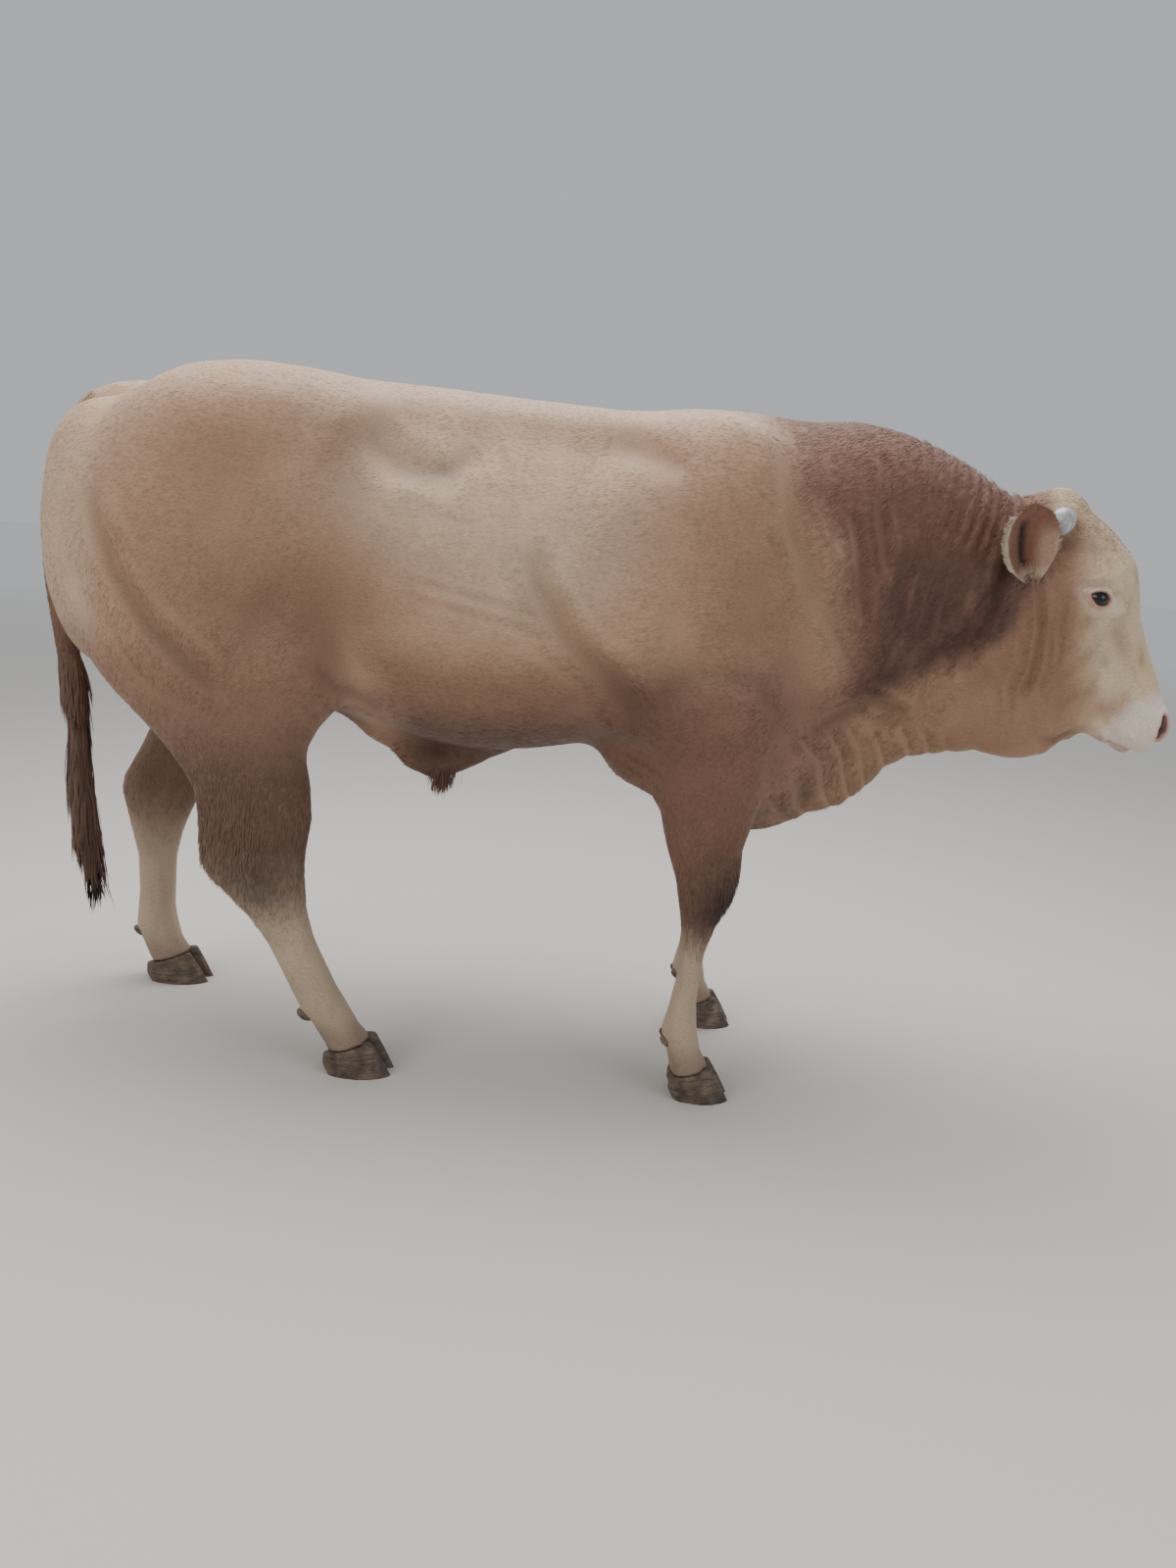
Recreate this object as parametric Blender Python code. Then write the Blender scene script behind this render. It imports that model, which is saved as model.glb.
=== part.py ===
"""A life-size standing Blonde d'Aquitaine bull, as a still museum model.

Metres, +Z up, +X towards the head, +Y to the animal's left. The flesh is one smooth
form, a sum of muscles and tubes written as distance functions. It is meshed, thinned to
few faces, and parted with thin cuts where a person would name a new part. Horns, eyes,
claws, ears and the locks of the tail are made on their own and sit in or on the flesh.
"""

import math
import random

import bmesh
import bpy
import numpy as np
from mathutils import Matrix, Vector

# Gap between parts that touch, the mesh cells before thinning and the faces kept.
GAP = 0.0003
BODY_CELL = 0.013
HEAD_CELL = 0.0055
BODY_FACES = 4700
HEAD_FACES = 2300

# The trunk from the pins to the head, one row for each landmark:
# x, centre y, top z, widest z, bottom z, half width, roundness above and below.
TRUNK = (
    (-1.130, 0.000, 1.400, 1.24, 1.080, 0.105, 2.0, 2.0),  # pins
    (-1.050, 0.000, 1.475, 1.22, 0.960, 0.185, 2.1, 2.0),  # tail head
    (-0.930, 0.000, 1.540, 1.22, 0.880, 0.250, 2.3, 2.0),  # croup
    (-0.800, 0.000, 1.553, 1.22, 0.835, 0.285, 2.5, 2.0),  # sacrum
    (-0.650, 0.000, 1.543, 1.20, 0.810, 0.295, 2.7, 2.0),  # hooks
    (-0.500, 0.000, 1.528, 1.14, 0.775, 0.305, 2.6, 2.1),  # loin
    (-0.340, 0.000, 1.518, 1.08, 0.742, 0.340, 2.4, 2.2),  # last rib
    (-0.160, 0.000, 1.502, 1.06, 0.742, 0.362, 2.3, 2.2),  # widest rib
    (0.020, 0.000, 1.506, 1.06, 0.765, 0.352, 2.2, 2.2),  # heart girth
    (0.180, 0.000, 1.528, 1.08, 0.698, 0.320, 2.0, 2.1),  # withers, back end
    (0.310, 0.000, 1.528, 1.10, 0.640, 0.290, 2.0, 2.0),  # withers, front end
    (0.430, -0.003, 1.520, 1.12, 0.650, 0.265, 2.0, 1.9),  # neck base
    (0.560, -0.012, 1.524, 1.15, 0.720, 0.230, 2.1, 1.8),  # crest
    (0.680, -0.030, 1.492, 1.16, 0.790, 0.190, 2.2, 1.8),
    (0.790, -0.055, 1.438, 1.15, 0.850, 0.164, 2.2, 1.9),
    (0.880, -0.080, 1.378, 1.14, 0.880, 0.140, 2.1, 2.0),  # throat
    (0.960, -0.100, 1.310, 1.12, 0.920, 0.110, 2.0, 2.0),
)

# The fold of skin under the neck, in the same columns.
DEWLAP = (
    (0.330, 0.000, 0.78, 0.68, 0.590, 0.060, 2.0, 2.0),
    (0.400, 0.000, 0.78, 0.68, 0.582, 0.058, 2.0, 2.0),
    (0.460, 0.000, 0.80, 0.70, 0.600, 0.052, 2.0, 2.0),
    (0.520, -0.005, 0.83, 0.72, 0.632, 0.044, 2.0, 2.0),
    (0.590, -0.012, 0.87, 0.75, 0.655, 0.038, 2.0, 2.0),
    (0.645, -0.022, 0.92, 0.80, 0.705, 0.036, 2.0, 2.0),
    (0.690, -0.032, 0.95, 0.85, 0.782, 0.037, 2.0, 2.0),
    (0.780, -0.052, 0.97, 0.88, 0.815, 0.046, 2.0, 2.0),
    (0.860, -0.074, 0.98, 0.90, 0.829, 0.058, 2.0, 2.0),
    (0.940, -0.095, 0.99, 0.90, 0.815, 0.062, 2.0, 2.0),
    (1.000, -0.108, 0.99, 0.91, 0.830, 0.052, 2.0, 2.0),
    (1.045, -0.118, 0.96, 0.92, 0.868, 0.036, 2.0, 2.0),
)

# Each leg from the sole up: z, back x, front x, centre y, half width.
FORE_LEG = (
    (0.030, 0.240, 0.332, 0.214, 0.050),
    (0.065, 0.232, 0.326, 0.214, 0.054),  # coronet
    (0.105, 0.222, 0.304, 0.213, 0.046),  # pastern
    (0.150, 0.206, 0.292, 0.213, 0.047),  # fetlock
    (0.190, 0.214, 0.286, 0.212, 0.042),
    (0.260, 0.226, 0.285, 0.212, 0.038),  # cannon
    (0.360, 0.229, 0.296, 0.212, 0.040),
    (0.425, 0.224, 0.316, 0.212, 0.056),
    (0.480, 0.212, 0.342, 0.212, 0.063),  # knee
    (0.530, 0.198, 0.352, 0.212, 0.064),
    (0.585, 0.178, 0.354, 0.212, 0.070),
    (0.640, 0.163, 0.365, 0.212, 0.078),
    (0.700, 0.148, 0.380, 0.210, 0.088),
    (0.767, 0.142, 0.388, 0.208, 0.098),  # elbow
    (0.845, 0.115, 0.392, 0.205, 0.110),
    (0.960, 0.100, 0.390, 0.195, 0.112),
    (1.060, 0.130, 0.340, 0.170, 0.080),
)
HIND_RIGHT = (
    (0.030, -0.540, -0.440, 0.217, 0.050),
    (0.065, -0.555, -0.445, 0.217, 0.055),  # coronet
    (0.105, -0.582, -0.480, 0.216, 0.047),  # pastern
    (0.150, -0.618, -0.505, 0.215, 0.047),  # fetlock
    (0.190, -0.640, -0.530, 0.215, 0.042),
    (0.240, -0.667, -0.553, 0.215, 0.040),  # cannon
    (0.300, -0.700, -0.583, 0.215, 0.040),
    (0.364, -0.752, -0.602, 0.215, 0.046),
    (0.416, -0.804, -0.607, 0.216, 0.053),
    (0.460, -0.843, -0.610, 0.216, 0.056),  # hock
    (0.510, -0.850, -0.608, 0.218, 0.056),
    (0.572, -0.850, -0.597, 0.222, 0.062),
    (0.650, -0.862, -0.600, 0.226, 0.075),  # gaskin
    (0.715, -0.903, -0.609, 0.230, 0.088),
    (0.793, -0.973, -0.595, 0.230, 0.105),
    (0.860, -1.040, -0.565, 0.228, 0.120),
    (0.940, -1.090, -0.545, 0.222, 0.135),
    (1.040, -1.090, -0.570, 0.195, 0.130),
    (1.180, -1.000, -0.640, 0.160, 0.085),
)
HIND_LEFT = (
    (0.030, -1.115, -1.010, 0.242, 0.050),
    (0.065, -1.130, -1.015, 0.242, 0.055),  # coronet
    (0.105, -1.146, -1.044, 0.241, 0.047),  # pastern
    (0.150, -1.166, -1.056, 0.240, 0.047),  # fetlock
    (0.190, -1.162, -1.062, 0.240, 0.042),
    (0.260, -1.158, -1.062, 0.240, 0.040),  # cannon
    (0.350, -1.165, -1.055, 0.240, 0.043),
    (0.410, -1.178, -1.040, 0.240, 0.050),
    (0.470, -1.195, -1.015, 0.240, 0.056),
    (0.525, -1.203, -0.985, 0.240, 0.058),  # hock
    (0.580, -1.180, -0.945, 0.240, 0.062),
    (0.650, -1.140, -0.890, 0.240, 0.074),  # gaskin
    (0.715, -1.115, -0.830, 0.240, 0.088),
    (0.793, -1.105, -0.745, 0.236, 0.104),
    (0.860, -1.110, -0.680, 0.232, 0.120),
    (0.940, -1.115, -0.600, 0.222, 0.135),
    (1.040, -1.100, -0.580, 0.195, 0.130),
    (1.180, -1.000, -0.640, 0.160, 0.085),
)
# Name, table, side (+1 is left) and how far the table is moved along x.
LEGS = (
    ("foreleg_right", FORE_LEG, -1, 0.000),
    ("foreleg_left", FORE_LEG, 1, 0.048),
    ("hindleg_right", HIND_RIGHT, -1, 0.000),
    ("hindleg_left", HIND_LEFT, 1, 0.000),
)

# Muscles of each side, mirrored: centre, radii, lean about Y and turn about Z in degrees,
# and how softly each runs into its neighbours.
MUSCLES = {
    "loin": ((-0.22, 0.115, 1.436), (0.56, 0.105, 0.070), 2, 0, 0.05),
    "rump": ((-0.80, 0.150, 1.400), (0.27, 0.150, 0.125), -6, 0, 0.06),
    "pin": ((-1.060, 0.115, 1.310), (0.115, 0.100, 0.140), -20, 0, 0.05),
    "biceps_femoris": ((-0.885, 0.215, 1.110), (0.205, 0.125, 0.320), -22, 0, 0.05),
    "semitendinosus": ((-1.092, 0.148, 1.150), (0.118, 0.112, 0.270), -2, 0, 0.060),
    "thigh_front": ((-0.655, 0.205, 1.140), (0.145, 0.110, 0.270), 8, 0, 0.05),
    "stifle": ((-0.640, 0.240, 0.910), (0.105, 0.085, 0.120), 0, 0, 0.07),
    "hook": ((-0.600, 0.195, 1.415), (0.100, 0.080, 0.070), 10, 0, 0.08),
    "blade": ((0.190, 0.180, 1.255), (0.160, 0.115, 0.240), 18, 0, 0.09),
    "latissimus": ((-0.010, 0.258, 1.160), (0.165, 0.085, 0.190), 20, 0, 0.04),
    "triceps": ((0.125, 0.250, 1.035), (0.195, 0.100, 0.205), 24, 0, 0.04),
    "arm": ((0.225, 0.240, 0.920), (0.150, 0.090, 0.130), 0, 0, 0.05),
    "shoulder_point": ((0.315, 0.215, 0.930), (0.085, 0.085, 0.140), 12, 0, 0.05),
    "breast": ((0.330, 0.095, 0.760), (0.160, 0.100, 0.110), 0, 0, 0.07),
    "girth": ((0.190, 0.110, 0.760), (0.160, 0.105, 0.085), 0, 0, 0.06),
    "neck_cord": ((0.560, 0.120, 1.120), (0.270, 0.085, 0.205), -6, -12, 0.08),
}

# Furrows between the muscles: points in x and z down each side, half width and depth.
FURROWS = {
    "behind_shoulder": (
        ((-0.141, 1.220), (-0.130, 1.135), (-0.079, 1.064), (0.000, 0.985), (0.070, 0.897), (0.090, 0.830)),
        0.026, 0.024),
    "hamstring": (
        ((-1.083, 1.240), (-1.049, 1.167), (-0.943, 1.044), (-0.885, 0.966), (-0.841, 0.900)),
        0.024, 0.017),
    "rear_edge": (((-1.120, 1.200), (-1.110, 1.090), (-1.050, 0.970), (-0.980, 0.880)), 0.018, 0.008),
    "hip_hollow": (((-0.493, 1.450), (-0.448, 1.366), (-0.377, 1.345)), 0.055, 0.018),
    "thigh_hollow": (((-0.720, 1.080), (-0.690, 0.990), (-0.655, 0.900)), 0.050, 0.010),
    "flank": (((-0.500, 1.120), (-0.535, 0.990), (-0.540, 0.880)), 0.050, 0.015),
    "shoulder_hollow": (((0.170, 1.120), (0.185, 1.040), (0.180, 0.960)), 0.045, 0.010),
    "withers_hollow": (((-0.018, 1.444), (0.080, 1.415), (0.167, 1.388)), 0.040, 0.012),
    "arm_top": (((0.100, 0.890), (0.160, 0.935), (0.235, 0.940)), 0.028, 0.009),
    "neck_root": (
        ((0.330, 1.480), (0.385, 1.320), (0.430, 1.160), (0.450, 1.020), (0.420, 0.920)),
        0.035, 0.012),
    "jugular": (((0.480, 0.840), (0.590, 0.900), (0.700, 0.920)), 0.045, 0.016),
}

# Head: a point on the line of its brow, how far it is pitched down and turned.
BROW = (0.990, -0.090, 1.408)
HEAD_PITCH = math.radians(61.0)
HEAD_TURN = math.radians(-12.0)
# Sections from poll to lips: distance along, brow side, widest, jaw side, half width,
# roundness on the brow side and on the jaw side.
HEAD = (
    (0.010, 0.000, -0.080, -0.160, 0.070, 2.2, 2.0),
    (0.045, 0.018, -0.072, -0.215, 0.096, 2.5, 2.0),
    (0.090, 0.034, -0.060, -0.245, 0.112, 2.8, 2.0),
    (0.150, 0.054, -0.050, -0.268, 0.121, 3.0, 2.1),
    (0.200, 0.061, -0.045, -0.270, 0.124, 3.0, 2.2),
    (0.254, 0.051, -0.050, -0.262, 0.115, 2.8, 2.2),
    (0.300, 0.037, -0.060, -0.246, 0.102, 2.6, 2.2),
    (0.363, 0.028, -0.062, -0.212, 0.090, 2.4, 2.2),
    (0.430, 0.021, -0.060, -0.178, 0.083, 2.3, 2.2),
    (0.490, 0.015, -0.060, -0.152, 0.081, 2.4, 2.2),
    (0.530, 0.008, -0.060, -0.138, 0.080, 2.5, 2.3),
    (0.552, -0.006, -0.060, -0.118, 0.069, 2.4, 2.3),
)
HEAD_CAP = 0.038
# Forms of the head in its own frame: along, across (mirrored) and towards the brow.
HEAD_FORMS = {
    "poll_knob": ((0.034, 0.000, -0.030), (0.042, 0.066, 0.046), 0, 0.030),
    "orbit": ((0.222, 0.099, -0.030), (0.062, 0.034, 0.042), 0, 0.030),
    "cheek": ((0.270, 0.072, -0.150), (0.125, 0.054, 0.105), 24, 0.040),
    "cheek_crest": ((0.340, 0.068, -0.075), (0.080, 0.026, 0.028), 14, 0.030),
    "muzzle_side": ((0.534, 0.050, -0.042), (0.041, 0.042, 0.046), 0, 0.022),
    "upper_lip": ((0.530, 0.044, -0.080), (0.048, 0.044, 0.030), -38, 0.020),
    "chin": ((0.498, 0.022, -0.128), (0.046, 0.040, 0.024), -38, 0.016),
}
EYE_PLACE = (0.228, 0.111, -0.047)
EYE_RADIUS = 0.0210
EYE_OPENING = (0.0185, 0.0110)
LID = 0.0042
# The comma of the nostril, with its radius at each place, and the passage behind it.
NOSTRIL = (
    (0.519, 0.068, -0.004, 0.0080), (0.534, 0.077, -0.011, 0.0115), (0.550, 0.079, -0.022, 0.0135),
    (0.563, 0.077, -0.035, 0.0110), (0.569, 0.075, -0.048, 0.0065))
NOSTRIL_INSIDE = (0.538, 0.058, -0.030, 0.0125)
MOUTH = ((0.590, -0.082), (0.553, -0.098), (0.518, -0.114), (0.485, -0.122))
MOUTH_HALF = 0.0070
MOUTH_DEPTH = 0.008
# How far from an eye, a nostril or the mouth the mesh is kept fine, and how firmly.
DETAIL_REACH = 0.075
DETAIL_HOLD = 0.0006
# The blunt bud of the horn in head places, with its radius at each.
HORN = (
    (0.062, 0.055, -0.048, 0.033), (0.055, 0.092, -0.052, 0.0325), (0.048, 0.116, -0.056, 0.028),
    (0.043, 0.129, -0.058, 0.020), (0.041, 0.134, -0.059, 0.010))
HORN_SIDES = 14
HORN_RINGS = 7
HORN_FLAT = 0.82
EAR_BASE = (0.146, 0.155, -0.158)
EAR_TIP = (-0.009, 0.225, -0.110)
EAR_FACE = (0.593, 0.731, 0.141)
EAR_WIDTH = 0.120
EAR_THICK = 0.0065
EAR_ROOT = (0.122, 0.072, -0.140)
EAR_ROOT_RISE = 0.046
EAR_ROOT_DEPTH = 0.0425
EAR_ROOT_TAPER = ((0.0, 0.036), (0.5, 0.034), (0.80, 0.027), (0.93, 0.020), (1.0, 0.011))
EAR_COLUMNS = 8
EAR_RANKS = 8
# Part of the length, part of the full width and depth of the cup at each point.
EAR_SHAPE = (
    (0.00, 0.10, 0.25, 0.42, 0.60, 0.78, 0.90, 0.97, 1.00),
    (0.16, 0.46, 0.80, 0.98, 1.00, 0.88, 0.62, 0.34, 0.12),
    (0.010, 0.026, 0.037, 0.034, 0.026, 0.017, 0.010, 0.006, 0.003))

# The tail from its root over the rump and down: x, y, z and radius.
TAIL = (
    (-0.930, 0.000, 1.440, 0.044),
    (-1.050, 0.000, 1.462, 0.044),
    (-1.145, 0.000, 1.438, 0.040),
    (-1.207, 0.000, 1.370, 0.034),
    (-1.239, 0.000, 1.290, 0.032),
    (-1.252, 0.000, 1.190, 0.031),
    (-1.254, 0.000, 1.090, 0.030),
    (-1.245, 0.000, 0.990, 0.028),
    (-1.229, 0.000, 0.890, 0.028),
    (-1.216, 0.000, 0.800, 0.030),
)
TAIL_SIDES = 12
# The core of the switch in the same columns, and its tiers of locks: how far down
# the core they grow, how many there are and how long they are.
SWITCH_CORE = (
    (-1.217, 0.000, 0.830, 0.029),
    (-1.209, 0.000, 0.752, 0.028),
    (-1.208, 0.000, 0.646, 0.030),
    (-1.199, 0.000, 0.540, 0.032),
    (-1.182, 0.000, 0.434, 0.029),
    (-1.166, 0.000, 0.370, 0.020),
    (-1.158, 0.000, 0.320, 0.009),
)
SWITCH_TIERS = ((0.05, 4, 0.200), (0.30, 4, 0.210), (0.55, 5, 0.190), (0.80, 5, 0.160))
# Part of a lock's length, width and thickness at each step from root to tip.
LOCK_SHAPE = ((-0.04, 0.45, 1.00), (0.20, 1.00, 1.00), (0.55, 0.92, 0.80), (0.82, 0.52, 0.50), (1.00, 0, 0))
LOCK_THICK = 0.0110
SHEATH_LOCKS = 6

# The fold of the belly that the sheath grows from, and the sheath's own end.
SHEATH_FOLD = (
    (-0.590, 0.000, 0.839, 0.034), (-0.500, 0.000, 0.770, 0.030), (-0.410, 0.000, 0.701, 0.027),
    (-0.350, 0.000, 0.675, 0.024), (-0.285, 0.000, 0.717, 0.025), (-0.215, 0.000, 0.752, 0.030))
SHEATH = (
    (-0.374, 0.000, 0.708, 0.022), (-0.362, 0.000, 0.692, 0.030), (-0.346, 0.000, 0.672, 0.032),
    (-0.335, 0.000, 0.657, 0.028), (-0.329, 0.000, 0.647, 0.019))
SCROTUM = (
    (-0.800, 0.900, 0.045), (-0.798, 0.800, 0.044), (-0.795, 0.700, 0.054), (-0.792, 0.620, 0.066),
    (-0.790, 0.575, 0.063), (-0.789, 0.545, 0.045), (-0.789, 0.530, 0.020))

# The slope and height of the line where hair ends and claw begins.
CORONET = 0.064
CORONET_SLOPE = 0.30
CLAW_WIDTH = 0.049
CLAW_SPREAD = 0.007
CLAW_SIDES = 16
CLAW_LEVELS = (0.0, 0.10, 0.50, 1.0)
# How far the toe and heel reach out towards the sole, and the heel's bulge between.
TOE_REACH = 0.046
HEEL_REACH = 0.012
HEEL_BULGE = 0.007
# How the claw widens downwards, narrows to the toe, turns in at the toe, and its width
# on the side of the cleft and on the other side.
CLAW_FLARE = 0.10
TOE_TAPER = 0.34
TOE_TURN = 0.007
CLAW_INNER = 0.84
CLAW_OUTER = 1.12
DEWCLAW_RADII = (0.014, 0.011, 0.021)
DEWCLAW_APART = 0.021
DEWCLAW_IN = 0.018


def unit(v):
    v = np.asarray(v, float)
    return v / np.linalg.norm(v)


# Where the head and the neck are parted, and outlines in x and z that hold a whole leg
# each, with how near the middle they reach.
HEAD_CUT = (0.858, -0.076, 1.100)
HEAD_CUT_NORMAL = unit((0.985, -0.150, -0.060))
NECK_CUT = (0.445, 0.0, 1.100)
NECK_CUT_NORMAL = unit((0.998, 0.0, 0.060))
FORE_OUTLINE = (
    (0.110, -0.05), (0.470, -0.05), (0.470, 0.800), (0.055, 0.800), (0.055, 0.680), (0.110, 0.560))
FORE_INNER = 0.118
HIND_OUTLINE = (
    (-1.300, -0.05), (-0.380, -0.05), (-0.380, 0.560), (-0.500, 0.690), (-0.500, 0.900), (-1.300, 0.900))
HIND_INNER = 0.050

HEAD_ALONG = np.array((
    math.cos(HEAD_PITCH) * math.cos(HEAD_TURN),
    math.cos(HEAD_PITCH) * math.sin(HEAD_TURN),
    -math.sin(HEAD_PITCH)))
HEAD_LEFT = np.array((-math.sin(HEAD_TURN), math.cos(HEAD_TURN), 0.0))
HEAD_UP = np.cross(HEAD_ALONG, HEAD_LEFT)


def head_point(place, side):
    """World point of a place given along, outward and towards the brow."""
    along, out, up = place
    return np.array(BROW) + along * HEAD_ALONG + side * out * HEAD_LEFT + up * HEAD_UP


def head_vector(direction, side):
    return head_point(direction, side) - np.array(BROW)


def rows_at(t, rows):
    """Smoothly interpolated columns of a table whose first column is t."""
    table = np.array(rows, float)
    keys = table[:, 0]
    slopes = np.gradient(table, keys, axis=0)
    t = np.clip(t, keys[0], keys[-1])
    i = np.clip(np.searchsorted(keys, t, side="right") - 1, 0, len(keys) - 2)
    step = keys[i + 1] - keys[i]
    u = (t - keys[i]) / step
    a = (1 + 2 * u) * (1 - u) ** 2
    b = u * (1 - u) ** 2
    c = u * u * (3 - 2 * u)
    d = u * u * (u - 1)
    return [
        a * table[i, n] + b * step * slopes[i, n] + c * table[i + 1, n] + d * step * slopes[i + 1, n]
        for n in range(1, table.shape[1])]


def sections(t, side, up, rows, cap):
    """Distance from a tube whose cross sections are rounded ovals given by rows."""
    centre, high, widest, low, half, n_high, n_low = rows_at(t, rows)
    across = np.abs(side - centre) / half
    rise = up - widest
    upper = rise > 0
    height = np.where(upper, high - widest, widest - low)
    power = np.where(upper, n_high, n_low)
    rise = np.abs(rise) / height
    radius = np.maximum(across ** power + rise ** power, 1e-9) ** (1 / power)
    slope = np.sqrt(
        ((across / radius) ** (power - 1) / half) ** 2 + ((rise / radius) ** (power - 1) / height) ** 2)
    beyond = np.maximum(np.maximum(rows[0][0] - t, t - rows[-1][0]), 0) / cap
    return (np.sqrt(radius ** 2 + beyond ** 2) - 1) / slope


def ellipsoid(x, y, z, radii):
    a = np.sqrt((x / radii[0]) ** 2 + (y / radii[1]) ** 2 + (z / radii[2]) ** 2)
    b = np.sqrt((x / radii[0] ** 2) ** 2 + (y / radii[1] ** 2) ** 2 + (z / radii[2] ** 2) ** 2)
    return a * (a - 1) / np.maximum(b, 1e-6)


def turned(x, y, z, lean, turn):
    """Coordinates in a frame leaned about Y and turned about Z, both in degrees."""
    c, s = math.cos(math.radians(turn)), math.sin(math.radians(turn))
    x, y = c * x + s * y, c * y - s * x
    c, s = math.cos(math.radians(lean)), math.sin(math.radians(lean))
    return c * x - s * z, y, s * x + c * z


def cone(x, y, z, start, end, r_start, r_end):
    """Distance from a round bar that tapers from one radius to another."""
    start = np.asarray(start, float)
    axis = np.asarray(end, float) - start
    t = ((x - start[0]) * axis[0] + (y - start[1]) * axis[1] + (z - start[2]) * axis[2]) / (axis @ axis)
    t = np.clip(t, 0, 1)
    away = np.sqrt(
        (x - start[0] - t * axis[0]) ** 2
        + (y - start[1] - t * axis[1]) ** 2
        + (z - start[2] - t * axis[2]) ** 2)
    return away - (r_start + t * (r_end - r_start))


def line_distance(x, z, points):
    """Distance in a plane from a bent line, and how far along it the nearest point is."""
    best = None
    for n, ((x0, z0), (x1, z1)) in enumerate(zip(points, points[1:])):
        dx, dz = x1 - x0, z1 - z0
        t = np.clip(((x - x0) * dx + (z - z0) * dz) / (dx * dx + dz * dz), 0, 1)
        away = np.hypot(x - x0 - t * dx, z - z0 - t * dz)
        part = (n + t) / (len(points) - 1)
        if best is None:
            best, along = away, part
        along = np.where(away < best, part, along)
        best = np.minimum(best, away)
    return best, along


def smooth_min(a, b, k):
    h = np.maximum(k - np.abs(a - b), 0) / k
    return np.minimum(a, b) - h * h * k / 4


class Grid:
    """A block of cells holding distances from the flesh."""

    def __init__(self, low, high, cell):
        self.low = np.array(low, float)
        self.cell = cell
        self.count = np.ceil((np.array(high) - self.low) / cell).astype(int) + 1
        self.value = np.full(self.count, 0.2)

    def part(self, low, high):
        first = np.clip(np.floor((np.array(low) - self.low) / self.cell).astype(int), 0, self.count)
        last = np.clip(np.ceil((np.array(high) - self.low) / self.cell).astype(int) + 1, 0, self.count)
        axes = [self.low[n] + self.cell * np.arange(first[n], last[n]) for n in range(3)]
        x = axes[0][:, None, None]
        y = axes[1][None, :, None]
        z = axes[2][None, None, :]
        return tuple(slice(first[n], last[n]) for n in range(3)), x, y, z

    def blend(self, low, high, k, distance):
        where, x, y, z = self.part(low, high)
        if self.value[where].size:
            self.value[where] = smooth_min(self.value[where], distance(x, y, z), k)

    def change(self, low, high, amount):
        where, x, y, z = self.part(low, high)
        if self.value[where].size:
            self.value[where] = amount(self.value[where], x, y, z)


def rows_box(rows, margin):
    table = np.array(rows)
    low = (table[:, 0].min(), (table[:, 1] - table[:, 5]).min(), table[:, 4].min())
    high = (table[:, 0].max(), (table[:, 1] + table[:, 5]).max(), table[:, 2].max())
    return np.array(low) - margin, np.array(high) + margin


def add_trunk(grid):
    for rows, k, cap in ((TRUNK, 0.02, 0.08), (DEWLAP, 0.10, 0.04)):
        low, high = rows_box(rows, 0.12)
        grid.blend(low, high, k, lambda x, y, z, rows=rows, cap=cap: sections(x, y, z, rows, cap))


def leg_rows(table, side, shift):
    return [
        (z, side * y, front + shift, (front + back) / 2 + shift, back + shift, half, 2.3, 2.3)
        for z, back, front, y, half in table]


def add_legs(grid):
    for name, table, side, shift in LEGS:
        rows = leg_rows(table, side, shift)
        flat = np.array(table)
        low = (flat[:, 1].min() + shift - 0.1, -0.42 if side < 0 else 0.02, -0.02)
        high = (flat[:, 2].max() + shift + 0.1, -0.02 if side < 0 else 0.42, flat[-1, 0] + 0.1)
        grid.blend(low, high, 0.06, lambda x, y, z, rows=rows: sections(z, y, x, rows, 0.03))


def add_muscles(grid):
    for centre, radii, lean, turn, k in MUSCLES.values():
        reach = max(radii) + k
        for side in (1, -1):
            middle = (centre[0], side * centre[1], centre[2])
            low = [c - reach for c in middle]
            high = [c + reach for c in middle]

            def distance(x, y, z):
                u, v, w = turned(x - middle[0], y - middle[1], z - middle[2], lean, side * turn)
                return ellipsoid(u, v, w, radii)

            grid.blend(low, high, k, distance)


def add_soft_parts(grid):
    for first, last in zip(SHEATH_FOLD, SHEATH_FOLD[1:]):
        low = (min(first[0], last[0]) - 0.1, -0.1, min(first[2], last[2]) - 0.1)
        high = (max(first[0], last[0]) + 0.1, 0.1, max(first[2], last[2]) + 0.1)
        grid.blend(low, high, 0.05, lambda x, y, z: cone(x, y, z, first[:3], last[:3], first[3], last[3]))


def carve_furrows(grid):
    for points, half, depth in FURROWS.values():
        flat = np.array(points)
        low = (flat[:, 0].min() - 3 * half, -0.45, flat[:, 1].min() - 3 * half)
        high = (flat[:, 0].max() + 3 * half, 0.45, flat[:, 1].max() + 3 * half)

        def amount(value, x, y, z):
            away, along = line_distance(x, z, points)
            outer = np.clip((np.abs(y) - 0.06) / 0.06, 0, 1)
            ends = np.clip(5 * along * (1 - along), 0, 1)
            return value + depth * np.exp(-(away / half) ** 2) * outer * ends

        grid.change(low, high, amount)


def head_axes(x, y, z):
    dx, dy, dz = x - BROW[0], y - BROW[1], z - BROW[2]
    return [dx * v[0] + dy * v[1] + dz * v[2] for v in (HEAD_ALONG, HEAD_LEFT, HEAD_UP)]


HEAD_LOW = (0.80, -0.32, 0.82)
HEAD_HIGH = (1.34, 0.12, 1.47)


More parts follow.
